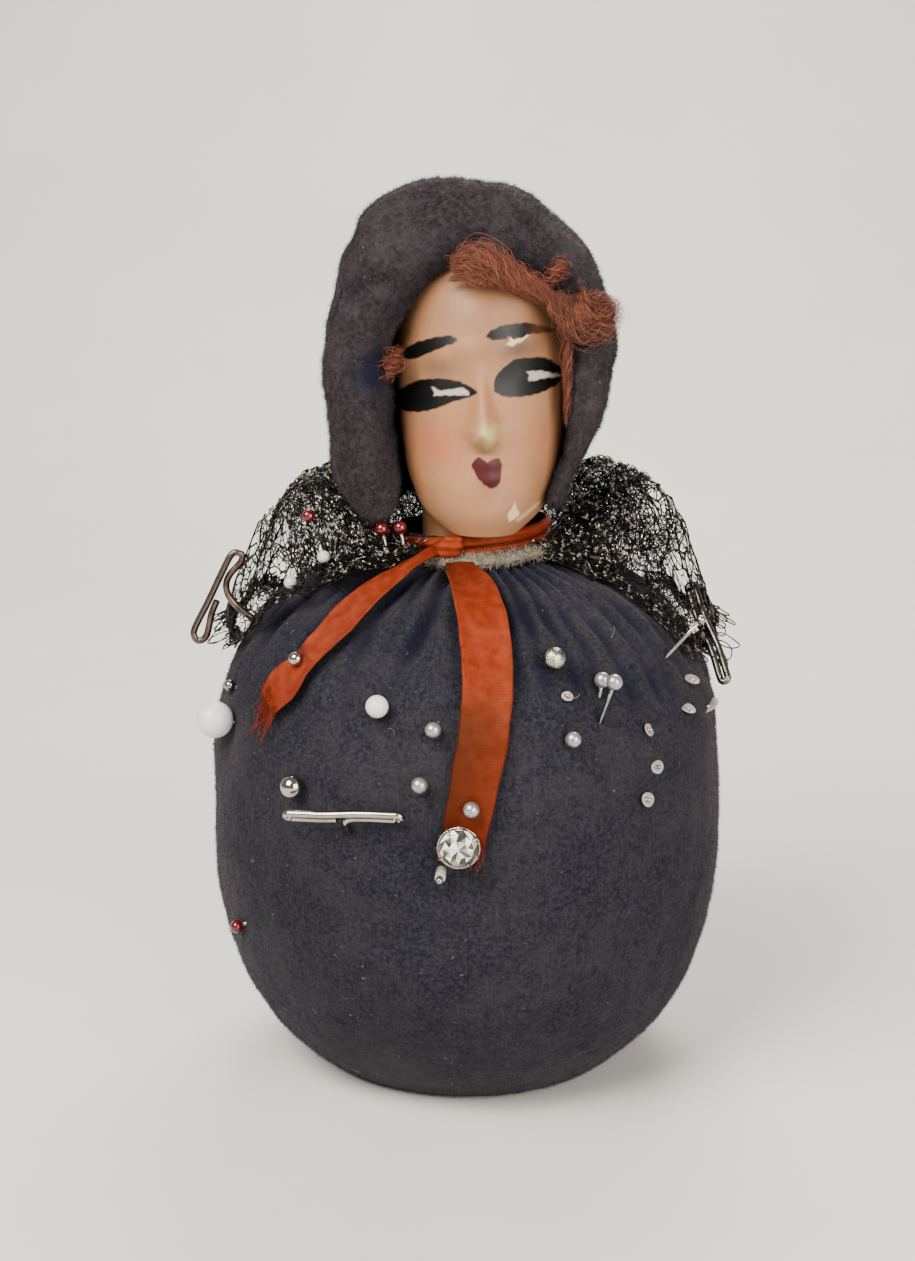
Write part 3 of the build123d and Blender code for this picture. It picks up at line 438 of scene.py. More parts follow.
class Sheet:
    """One material's nodes."""

    def __init__(self, name: str) -> None:
        """Starts an empty node tree."""
        self.material = bpy.data.materials.new(name)
        self.material.use_nodes = True
        self.tree = self.material.node_tree
        self.tree.nodes.clear()
        self.place: Shade | None = None

    def node(self, kind: str, settings: dict, inputs: dict) -> bpy.types.Node:
        """Makes a node: its settings are set first, then its sockets get values or links."""
        made = self.tree.nodes.new(kind)
        for name, value in settings.items():
            setattr(made, name, value)
        for name, value in inputs.items():
            socket = made.inputs[name]
            if isinstance(value, Shade):
                self.tree.links.new(value.socket, socket)
            elif isinstance(value, tuple) and len(value) == 3 and socket.type == "RGBA":
                socket.default_value = (*value, 1.0)
            else:
                socket.default_value = value
        return made

    def value(self, kind: str, settings: dict, inputs: dict, output: int | str = 0) -> Shade:
        """Makes a node and returns one of its outputs."""
        return Shade(self, self.node(kind, settings, inputs).outputs[output])

    def math(self, operation: str, left: "Shade | float", right: "Shade | float") -> Shade:
        """A Math node on two values."""
        return self.value("ShaderNodeMath", {"operation": operation}, {0: left, 1: right})

    def spot(self) -> Shade:
        """Object coordinates, in metres."""
        if self.place is None:
            self.place = self.value("ShaderNodeTexCoord", {}, {}, "Object")
        return self.place

    def cloth(self) -> Shade:
        """The piece's own cloth map, in millimetres."""
        return self.value("ShaderNodeUVMap", {"uv_map": "cloth"}, {})

    def noise(self, size: float, detail: float = 3.0, rough: float = 0.5) -> Shade:
        """Noise with features of a size in mm."""
        inputs = {"Vector": self.spot(), "Scale": 1 / (size * MM), "Detail": detail, "Roughness": rough}
        return self.value("ShaderNodeTexNoise", {}, inputs)

    def bands(self, direction: str, scale: float, distortion: float, detail_scale: float = 1.0) -> Shade:
        """Wavy bands across the cloth map."""
        settings = {"wave_type": "BANDS", "bands_direction": direction}
        inputs = {"Vector": self.cloth(), "Scale": scale, "Distortion": distortion, "Detail": 2.0,
                  "Detail Scale": detail_scale}
        return self.value("ShaderNodeTexWave", settings, inputs, "Fac")

    def ribs(self, direction: str, step: float) -> Shade:
        """Woven ribs, a step apart in mm."""
        return self.bands(direction, TURN / 20 / step, 1.6, 0.6)

    def cells(self, scale: float, randomness: float) -> Shade:
        """Distance from the sides of uneven cells on the cloth map."""
        settings = {"feature": "DISTANCE_TO_EDGE", "voronoi_dimensions": "2D"}
        inputs = {"Vector": self.cloth(), "Scale": scale, "Randomness": randomness}
        return self.value("ShaderNodeTexVoronoi", settings, inputs, "Distance")

    def mark(self, name: str) -> Shade:
        """A named value that the mesh carries."""
        return self.value("ShaderNodeAttribute", {"attribute_name": name}, {}, "Fac")

    def mix(self, share: "Shade | float", first: "Shade | Colour", second: "Shade | Colour") -> Shade:
        """Colour between two colours by a share."""
        return self.value("ShaderNodeMix", {"data_type": "RGBA"}, {0: share, 6: first, 7: second}, 2)

    def bump(self, height: Shade, strength: float, distance: float) -> Shade:
        """Normal from a height, with its depth in mm."""
        inputs = {"Height": height, "Strength": strength, "Distance": distance * MM}
        return self.value("ShaderNodeBump", {}, inputs)

    def finish(self, **inputs: "Shade | float | Colour") -> Material:
        """Ends the material in one principled surface; an underscore in a name stands for a space."""
        named = {name.replace("_", " ").replace("Specular IOR", "Specular IOR Level"): value
                 for name, value in inputs.items()}
        made = self.node("ShaderNodeBsdfPrincipled", {}, named)
        end = self.node("ShaderNodeOutputMaterial", {}, {})
        self.tree.links.new(made.outputs[0], end.inputs["Surface"])
        return self.material


@dataclass(frozen=True)
class Velvet:
    """Short pile with wear: clumps, faded patches, painted shade of deeper colour in the folds, paler patches that
    are partly painted sheen, painted sheen on fibre tips, and sheen.
    """

    name: str
    pile: Colour
    deep: Colour
    fold: Colour
    worn: Colour
    sheen: Colour
    clump: float = 0.9
    lift: float = 0.32

    def material(self) -> Material:
        """Mixes the pile's colours by noise, painted shade in the folds, paler patches of wear and painted edge
        sheen, and painted sheen on fibre tips, and roughs it up with clumps.
        """
        s = Sheet(self.name)
        clump = s.noise(self.clump, 4.0, 0.62)
        fine = s.noise(self.clump * 0.28, 2.0, 0.6)
        patch = s.noise(11.0, 3.0, 0.55)
        nap = s.noise(3.2, 3.0, 0.6)
        ribs = s.ribs("X", 0.52) * 0.55 + s.ribs("Y", 0.62) * 0.45
        colour = s.mix((clump * 0.6 + fine * 0.4).between(0.4, 0.6), self.deep, self.pile)
        colour = s.mix((patch * 0.5 + nap * 0.5).between(0.42, 0.66) * 0.4, colour, self.worn)
        colour = s.mix(ribs * nap.between(0.4, 0.65) * 0.35, colour, self.deep)
        # Painted shade: folds and creases turn darker and bluer; on the hood this mark also carries a patch of
        # deeper blue.
        colour = s.mix(s.mark("fold").between(0.05, 0.85) * 0.85, colour, self.fold)
        # Paler patches: fading and wear, and on the bag also painted sheen along its left and right sides.
        colour = s.mix(s.mark("worn").between(0.1, 1.0) * 0.75, colour, self.worn)
        colour = s.mix(s.mark("strand"), colour, self.deep)
        colour = s.mix(s.mark("tip") * (0.10 + 0.3 * nap.between(0.45, 0.7)), colour, self.sheen)
        lint = s.noise(0.4, 1.0, 0.4).between(0.76, 0.82)
        colour = s.mix(lint * 0.6, colour, self.sheen)
        return s.finish(
            Base_Color=colour, Roughness=0.95, Specular_IOR=0.12,
            Sheen_Weight=0.35, Sheen_Roughness=0.3, Sheen_Tint=self.sheen,
            Normal=s.bump(clump * 0.5 + fine * 0.3 - ribs * 0.2, 0.85, self.lift),
        )


@dataclass(frozen=True)
class PaintedFace:
    """Painted composition: cream ground under blush, brown eye-shadow paint, black, red and white paint, with
    painted shade and painted glints.
    """

    ground: Colour = (0.285, 0.130, 0.059)
    light: Colour = (0.325, 0.157, 0.074)
    blush: Colour = (0.42, 0.092, 0.042)
    shadow: Colour = (0.060, 0.038, 0.024)
    black: Colour = (0.0012, 0.0014, 0.0014)
    # Colour of the painted glints on the black eye paint.
    lid: Colour = (0.009, 0.011, 0.0095)
    red: Colour = (0.045, 0.001, 0.002)
    white: Colour = (0.44, 0.36, 0.32)
    chip: Colour = (0.56, 0.42, 0.25)
    worn: Colour = (0.44, 0.38, 0.17)

    def material(self) -> Material:
        """Lays each paint over the last by the marks on the mesh."""
        s = Sheet("painted_face")
        soft = s.noise(5.0, 3.0)
        grain = s.noise(0.45, 3.0, 0.6)
        brush = s.noise(0.9, 3.0, 0.6)
        colour = s.mix(soft.between(0.35, 0.7), self.ground, self.light)
        colour = s.mix(s.noise(1.6, 4.0).between(0.6, 0.75) * 0.16, colour, self.shadow)
        colour = s.mix(s.mark("blush") * 0.75, colour, self.blush)
        # Eye-shadow paint and painted shade by the shadow mark.
        colour = s.mix(s.mark("shadow"), colour, self.shadow)
        colour = s.mix(s.mark("worn") * (0.5 + 0.5 * brush), colour, self.worn)
        colour = s.mix(s.mark("chip"), colour, self.chip)
        colour = s.mix(s.mark("red"), colour, self.red)
        dark = s.mark("dark")
        # Painted glints on the black eye paint where the glint mark lies.
        colour = s.mix(dark, colour, s.mix(s.mark("lid") * (0.4 + brush), self.black, self.lid))
        colour = s.mix(s.mark("white"), colour, self.white)
        height = grain * 0.25 + soft * 0.5 + dark * 0.25 + s.mark("red") * 0.2 - s.mark("chip") * 0.8
        return s.finish(
            Base_Color=colour, Roughness=0.44 + 0.2 * brush - 0.1 * dark, Specular_IOR=0.28,
            Coat_Weight=0.05, Coat_Roughness=0.2, Subsurface_Weight=0.06, Subsurface_Scale=0.0015,
            Normal=s.bump(height, 0.35, 0.12),
        )


@dataclass(frozen=True)
class Fibre:
    """Hair or fuzz: each strand takes its own shade between two colours."""

    name: str
    dark: Colour
    light: Colour
    rough: float = 0.55
    sheen: float = 0.3

    def material(self) -> Material:
        """Mixes by the strand's own value and a little noise along it."""
        s = Sheet(self.name)
        share = (s.mark("strand") * 0.75 + s.noise(1.2, 2.0) * 0.5).between(0.25, 0.95)
        return s.finish(
            Base_Color=s.mix(share, self.dark, self.light), Roughness=self.rough, Specular_IOR=0.4,
            Sheen_Weight=self.sheen, Sheen_Roughness=0.5, Sheen_Tint=self.light,
        )


@dataclass(frozen=True)
class Satin:
    """Woven satin: fine threads across the width, soft shine and darker worn streaks."""

    name: str = "satin"
    bright: Colour = (0.195, 0.024, 0.0085)
    dull: Colour = (0.125, 0.0105, 0.0025)
    groove: Colour = (0.0625, 0.00525, 0.00125)
    shadow: Colour = (0.015, 0.00126, 0.0003)
    shine: tuple[float, float, float, float] = (1.0, 0.45, 0.2, 1.0)

    def material(self) -> Material:
        """Bands of thread from the cloth map, with streaks and shade from the mesh's marks."""
        s = Sheet(self.name)
        weave = s.bands("Y", 1.15, 1.2, 3.0) * 0.55 + s.bands("X", 1.6, 0.8) * 0.45
        streak = s.noise(1.4, 4.0, 0.6)
        colour = s.mix(streak.between(0.3, 0.72), self.dull, self.bright)
        colour = s.mix(weave * 0.35, colour, self.groove)
        colour = s.mix(s.mark("shade"), colour, self.shadow)
        return s.finish(
            Base_Color=colour, Roughness=0.42 + 0.2 * weave, Specular_IOR=0.35, Specular_Tint=self.shine,
            Normal=s.bump(weave * 0.7 + streak * 0.3, 0.35, 0.06),
        )


@dataclass(frozen=True)
class Metal:
    """Wire, plate and mirror-bright metals with dull spots."""

    name: str
    bright: Colour
    dull: Colour
    rough: float
    speck: float = 0.8
    dents: float = 0.0
    rust: float = 0.3
    tarnish: tuple[float, float] = (0.42, 0.68)

    def material(self) -> Material:
        """Polished metal with patches of tarnish and fine scratches."""
        s = Sheet(self.name)
        patch = s.noise(self.speck, 4.0, 0.65)
        fine = s.noise(self.speck * 0.22, 3.0, 0.6)
        share = patch.between(*self.tarnish)
        colour = s.mix(share * (0.55 + self.rust), self.bright, self.dull)
        return s.finish(
            Base_Color=colour, Metallic=1.0, Roughness=self.rough + 0.3 * share * self.rust + 0.08 * fine,
            Normal=s.bump(fine * 0.5 + patch * 0.5, 0.04 + self.dents, 0.01 + 0.14 * self.dents),
        )


@dataclass(frozen=True)
class Bead:
    """Glass, pearl and plastic heads."""

    name: str
    colour: Colour
    shade: Colour
    rough: float = 0.2
    clear: float = 0.0
    metal: float = 0.0
    coat: float = 0.4

    def material(self) -> Material:
        """A glossy body, clouded a little by noise, and clear by a set share."""
        s = Sheet(self.name)
        cloud = s.noise(0.6, 3.0, 0.55)
        return s.finish(
            Base_Color=s.mix(cloud.between(0.4, 0.7) * 0.6, self.colour, self.shade),
            Roughness=self.rough + 0.12 * cloud, Metallic=self.metal, IOR=1.5,
            Transmission_Weight=self.clear, Coat_Weight=self.coat, Coat_Roughness=0.08,
            Normal=s.bump(cloud, 0.12, 0.04),
        )


@dataclass(frozen=True)
class LaceGround:
    """Fine metal net: bright and tarnished thread, open between the cells' sides."""

    tarnished: Colour = (0.008, 0.0072, 0.006)
    bright: Colour = (0.16, 0.15, 0.13)

    def material(self) -> Material:
        """Cells from the cloth map set the holes; the dense mark fills them in."""
        s = Sheet("lace_ground")
        inner = s.cells(2.3, 1.0)
        net = 1 - s.cells(1.0, 0.9).between(0.05, 0.09)
        fill = (1 - inner.between(0.10, 0.22)) * s.mark("dense").between(0.3, 0.6)
        hole = s.mark("hole").between(0.45, 0.5)
        glint = s.noise(0.35, 3.0, 0.7)
        height = glint * 0.5 + (1 - inner.between(0.0, 0.3)) * 0.5
        return s.finish(
            Base_Color=s.mix(glint.between(0.60, 0.76), self.tarnished, self.bright), Metallic=0.6,
            Roughness=0.45 + 0.2 * glint, Specular_IOR=0.3, Alpha=s.math("MAXIMUM", net, fill) * (1 - hole),
            Normal=s.bump(height, 0.8, 0.12),
        )


@dataclass(frozen=True)
class Plain:
    """Matte stuff with a little grain, for pieces that hardly show."""

    name: str
    colour: Colour
    shade: Colour
    grain: float = 0.6
    rough: float = 0.85

    def material(self) -> Material:
        """Two shades by grain noise."""
        s = Sheet(self.name)
        grain = s.noise(self.grain, 4.0, 0.6)
        return s.finish(
            Base_Color=s.mix(grain.between(0.35, 0.7), self.shade, self.colour),
            Roughness=self.rough, Normal=s.bump(grain, 0.4, 0.08),
        )


BAG_VELVET = Velvet(
    "slate_velvet", (0.0215, 0.0208, 0.0285), deep=(0.0058, 0.0059, 0.0092), fold=(0.003, 0.0037, 0.0115),
    worn=(0.038, 0.032, 0.035), sheen=(0.15, 0.142, 0.16), clump=0.5, lift=0.24)
HOOD_VELVET = Velvet(
    "hood_velvet", (0.029, 0.0225, 0.0255), deep=(0.0095, 0.0072, 0.0095), fold=(0.004, 0.0055, 0.020),
    worn=(0.055, 0.045, 0.048), sheen=(0.19, 0.162, 0.168), clump=0.6, lift=0.26)
LINT = Fibre("lint", (0.07, 0.07, 0.075), (0.24, 0.235, 0.23))
HAIR = Fibre("mohair", (0.028, 0.006, 0.0035), (0.26, 0.072, 0.030), 0.5, 0.1)
TAPE = Fibre("cream_tape", (0.14, 0.12, 0.088), (0.40, 0.35, 0.26), 0.9, 0.1)
# The rhinestone's facets take random shades, from dark to near white, by their strand value: painted glints.
CUT_STONE = Fibre("cut_stone", (0.035, 0.03, 0.022), (0.80, 0.78, 0.72), 0.06, 0.0)
PIN_STEEL = Metal("pin_steel", (0.36, 0.34, 0.31), (0.20, 0.175, 0.145), 0.18, speck=2.0, rust=0.05)
BRIGHT_STEEL = Metal("bright_steel", (0.44, 0.41, 0.365), (0.22, 0.19, 0.155), 0.07, speck=2.4, rust=0.02)
CRINKLED_STEEL = Metal("crinkled_steel", (0.52, 0.48, 0.41), (0.10, 0.085, 0.06), 0.1, speck=0.9, dents=0.9)
FOIL = Metal("foil", (0.93, 0.92, 0.88), (0.55, 0.52, 0.45), 0.05, speck=1.5, rust=0.1)
BROWN_WIRE = Metal("brown_wire", (0.15, 0.112, 0.092), (0.05, 0.033, 0.026), 0.24, speck=2.2, rust=0.35)
DARK_WIRE = Metal("dark_wire", (0.13, 0.12, 0.105), (0.025, 0.021, 0.017), 0.22, speck=1.6, rust=0.4)
LACE_THREAD = Metal(
    "lace_thread", (0.22, 0.205, 0.175), (0.010, 0.009, 0.0075), 0.3, rust=0.5, tarnish=(0.32, 0.48))
LACE_DARK = Metal(
    "lace_dark", (0.10, 0.092, 0.078), (0.008, 0.007, 0.006), 0.32, speck=1.3, rust=0.5, tarnish=(0.36, 0.5))
LACE_BRIGHT = Metal(
    "lace_bright", (0.60, 0.57, 0.50), (0.012, 0.011, 0.009), 0.26, speck=0.7, rust=0.5, tarnish=(0.35, 0.48))
CARD = Plain("card", (0.42, 0.33, 0.22), (0.30, 0.23, 0.15))
PEG_WOOD = Plain("peg_wood", (0.42, 0.28, 0.15), (0.26, 0.16, 0.08), 2.0, 0.6)
DARK_THREAD = Plain("dark_thread", (0.05, 0.05, 0.07), (0.02, 0.02, 0.03), 0.3)
PALE_FLOOR = Plain("pale_floor", (0.62, 0.60, 0.57), (0.585, 0.565, 0.535), 60.0, 0.9)


# Shapes that several classes share


@dataclass(frozen=True)
class BagForm:
    """The gathered bag's rounded barrel: where its crests are at a height."""

    base_radius: float = 18.0
    radius: float = 31.8
    widest: float = 34.5
    height: float = 65.0
    mouth: float = 9.8
    fullness: float = 2.6

    def span(self, end_radius: float | Array) -> float | Array:
        """Share of the half height at which the radius has shrunk to an end radius."""
        return (1 - (end_radius / self.radius) ** self.fullness) ** (1 / self.fullness)

    def reach(self, height: Array) -> Array:
        """Radius at a height: R (1 - s^p)^(1/p), where s is the share of the way to each end."""
        below = (self.widest - height) * self.span(self.base_radius) / self.widest
        above = (height - self.widest) * self.span(self.mouth) / (self.height - self.widest)
        share = np.clip(np.where(height <= self.widest, below, above), 0, 1)
        return self.radius * np.maximum(0, 1 - share**self.fullness) ** (1 / self.fullness)

    def top_height(self, radius: Array) -> Array:
        """Height of the upper half at a radius."""
        rise = (self.height - self.widest) / self.span(self.mouth)
        return self.widest + rise * self.span(np.minimum(radius, self.radius * 0.999))

    def slope(self, height: Array) -> tuple[Array, Array]:
        """Radial and upward parts of the outward normal at a height."""
        low = np.clip(height - 0.5, 0, self.height)
        high = np.clip(height + 0.5, 0, self.height)
        fall = (self.reach(high) - self.reach(low)) / (high - low)
        length = np.hypot(1.0, fall)
        return 1 / length, -fall / length

    def point(self, turn: Array, height: Array, lift: Array | float) -> Array:
        """Points at turns and heights, lifted square to the bag."""
        out, up = self.slope(height)
        return at_turn(turn, self.reach(height) + lift * out, height + lift * up)


BAG = BagForm()


class Head(Enum):
    """What a pin carries on its outer end."""

    PEARL = "pearl_grey"
    MILK = "milk_white"
    IVORY = "ivory_white"
    MIRROR = "bright_steel"
    CRINKLED = "crinkled_steel"
    RED = "red_glass"
    CLEAR = "clear_glass"
    FLAT = "pin_steel"
    SEQUIN = "sequin"
    TUBE = "tube_glass"
    STONE = "rhinestone"
    WIRE = "wire"


@dataclass
class PinLine:
    """Where a CAD pin lies: its point, its outward direction and its length to the very top."""

    body: str
    tip: Array
    axis: Array
    length: float
    nodes: list[str]

    @classmethod
    def read(cls, body: str) -> "PinLine":
        """Reads the line from the joint's axis and the nodes' own corners."""
        joint = next(j for j in frame["joints"] if j["child"] == body)
        axis = unit(np.array(joint["axis"], float))
        nodes = list(frame["record"]["behaviour"]["bodies"][body])
        points = np.concatenate([cls.corners(node) for node in nodes])
        reach = points @ axis
        tip = points[reach < reach.min() + 0.01].mean(0)
        return cls(body, tip, axis, float(reach.max() - reach.min()), nodes)

    @staticmethod
    def corners(node: str) -> Array:
        """A CAD node's corners in mm."""
        mesh = frame["nodes"][node].data
        co = np.zeros(len(mesh.vertices) * 3)
        mesh.vertices.foreach_get("co", co)
        return co.reshape(-1, 3) / MM

    def at(self, reach: float) -> Array:
        """A point on the line, measured out from its tip."""
        return self.tip + self.axis * reach

    def entry(self) -> Array:
        """Where the line leaves the bag."""
        reach = np.linspace(0, self.length, 400)
        path = self.tip + reach[:, None] * self.axis
        radius = np.hypot(path[:, 0], path[:, 1])
        within = (radius < BAG.reach(path[:, 2])) & (path[:, 2] < BAG.height)
        return path[np.flatnonzero(within)[-1]] if within.any() else path[-1]

    def sides(self) -> tuple[Array, Array]:
        """Two directions square to the line, the first as level as can be."""
        level = unit(np.cross((0.0, 0.0, 1.0), self.axis))
        return level, np.cross(self.axis, level)

    def turned(self, reach: Array, size: Array, sides: int) -> Array:
        """A grid turned about the line: rings at reaches from the tip, each with its radius."""
        ring = spokes(circle(sides), *self.sides())
        return self.tip + reach[:, None, None] * self.axis + size[:, None, None] * ring[None]


@dataclass
class VelvetBag:
    """The gathered velvet bag, its pile and the lint on it.

    A valley is a turn, a width, a depth, the height where it ends and a slant. A pucker is a place, a
    height and a width.
    """

    rows: int = 216
    columns: int = 444
    fibres: int = 170000
    threads: int = 60
    bottom_rows: int = 4
    puckers: tuple = (
        (29.6, -8.6, 48.2, 1.2, 2.1), (29.0, -11.8, 45.0, 0.7, 1.8), (-23.0, -16.5, 55.5, 0.6, 3.0))
    valleys: tuple[tuple[float, float, float, float, float], ...] = (
        (-3.0, 2.6, 1.0, 47, 0.0), (-11.0, 2.8, 2.7, 44, -0.75), (-20.5, 2.4, 1.0, 50, -0.3),
        (-28.0, 3.0, 1.3, 46, -0.3), (-37.0, 2.6, 1.0, 50, 0.0), (-46.0, 3.0, 1.4, 46, 0.0),
        (-56.0, 3.0, 1.1, 48, 0.0), (-68.0, 3.4, 1.3, 46, 0.0), (5.0, 2.2, 0.8, 52, 0.0),
        (11.5, 2.3, 1.3, 46, 0.1), (18.3, 2.2, 1.5, 42, 0.1), (25.5, 2.3, 1.7, 43, 0.15),
        (32.0, 2.2, 1.6, 40, 0.1), (38.8, 2.4, 1.7, 41, 0.25), (46.0, 2.3, 1.6, 42, 0.3),
        (53.0, 2.6, 1.4, 44, 0.2), (61.5, 2.6, 1.3, 44, 0.2), (71.0, 3.0, 1.2, 46, 0.0),
    )
    profile_start: tuple = ((16.9, 0.9), (17.2, 0.12), (17.7, 0.0))
    profile_end: tuple = ((9.0, 65.9), (8.9, 68.0))

    def gathers(self) -> Array:
        """All valleys, with the back filled in at uneven spacing."""
        rng = np.random.default_rng(41)
        back = np.arange(84.0, 284.0, 13.0)
        many = back.size
        extra = joined(back + rng.uniform(-3, 3, many), rng.uniform(2.4, 3.6, many),
                       rng.uniform(0.9, 1.7, many), rng.uniform(40, 50, many), 0.0)
        return np.concatenate([np.array(self.valleys), extra])

    def surface(self, pins: list[PinLine]) -> tuple[Array, Array, Array]:
        """The grid of the bag with its marks for painted shade in the folds and for paler patches.

        The profile is walked at even lengths. Each point moves along the bag's normal by soft bumps, less
        a bell-shaped valley for each gather that fades out downwards, and up to the crests round each pin.
        """
        height = np.linspace(0.02, BAG.height, 900)
        barrel = joined(BAG.reach(height), height)
        profile = np.concatenate([self.profile_start, barrel, self.profile_end])
        length = walked(profile)
        steps = even(self.rows) * length[-1]
        radius, rise = (np.interp(steps, length, part)[:, None] for part in profile.T)
        turn = np.linspace(180, 540, self.columns, endpoint=False)[None]
        base = at_turn(turn, radius, rise)
        fold = np.zeros(base.shape[:2])
        depth = np.zeros(base.shape[:2])
        uneven = waves(base, 9.0, 4)
        for centre, wide, deep, low, slant in self.gathers():
            off = (turn - centre - slant * (64 - rise) + 180) % 360 - 180
            strength = ramp(rise, low, 64.0) * (1 + 0.7 * uneven)
            shape = hill(off, wide * (1.12 + 0.2 * uneven))
            # Painted shade in the valley of each gather.
            fold = np.maximum(fold, 0.8 * shape * strength * min(1.0, deep / 1.4))
            depth += 0.5 * deep * shape * strength - 0.2 * hill(np.abs(off) - 2.1 * wide, wide) * strength
        soft = 0.30 * waves(base, 17.0, 5) + 0.10 * waves(base, 6.0, 6) + 0.05 * waves(base, 2.2, 7)
        move = soft * ramp(rise, 0.0, 4.0) * ramp(rise, 66.0, 60.0) - depth
        for pin in pins:
            away = norm(base - pin.entry(), axis=-1)
            move += 0.85 * depth * hill(away, 2.0) - 0.3 * hill(away, 0.9)
        for *place, high, wide in self.puckers:
            move += high * hill(norm(base - np.array(place), axis=-1), wide)
        # Paler towards the bottom, where the velvet has faded, with painted sheen on the left and right sides and
        # uneven patches from noise.
        worn = ramp(rise, 16.0, 0.0) * 0.4 + ramp(np.abs(base[..., 0]), 25, 31) * 0.8
        worn = worn + 0.25 * waves(base, 20.0, 8)
        return base + ring_normals(base) * move[..., None], fold, np.clip(worn, 0, 1)

    def build(self, pins: list[PinLine]) -> None:
        """Makes the bag, its pile and its lint, and gives the cover below it the same velvet."""
        grid, fold, worn = self.surface(pins)
        skin = Skin()
        skin.add_grid(grid, fold=fold, worn=worn, spot=cloth_of(grid))
        velvet = BAG_VELVET.material()
        bag = skin.settle("velvet_bag_cover", velvet, "slate_velvet", "velvet_bag", "stuffing")
        rng = np.random.default_rng(17)
        points, normals, share = scatter(grid[self.bottom_rows:], self.fibres, rng, True)
        comb = np.tile((0.0, 0.0, -1.0), (len(points), 1))
        corners, tip = pile_of(points, normals, 0.42, 0.055, comb, rng)
        row = (share * (self.rows - self.bottom_rows - 1)).astype(int) + self.bottom_rows
        turn = (np.degrees(np.arctan2(points[:, 0], -points[:, 1])) - 180) % 360
        column = np.clip((turn / 360 * self.columns).astype(int), 0, self.columns - 1)
        pile = pile_skin(corners, tip, rng, fold=fold[row, column], worn=worn[row, column])
        pile.settle("velvet_bag_pile", velvet, "slate_velvet")
        self.lint(grid, rng)
        dress("base_cover", velvet)

    def lint(self, grid: Array, rng: Random) -> None:
        """Loose pale threads and specks caught in the pile."""
        many = self.threads
        points, normals, _ = scatter(grid[20:170], many, rng, True)
        t = np.linspace(-1, 1, 9)[None, :, None]
        first = unit(np.cross(normals, rng.normal(size=(many, 3))))[:, None]
        second = np.cross(normals, first[:, 0])[:, None]
        size = rng.uniform(0.15, 1.0, (many, 1, 1)) ** 2 * 0.8
        bend = rng.uniform(-1.2, 1.2, (many, 1, 1))
        path = points[:, None] + normals[:, None] * (0.35 + 0.1 * (1 - t * t))
        path = path + first * size * t + second * size * bend * t * t
        skin = Skin()
        skin.add_threads(path, 0.022, 4, strand=rng.random((many, 1)))
        skin.settle("velvet_lint", LINT.material(), "slate_velvet")


def dress(node: str, material: Material) -> None:
    """Gives a CAD node that stays its finish."""
    mesh = frame["nodes"][node].data
    mesh.materials.clear()
    mesh.materials.append(material)


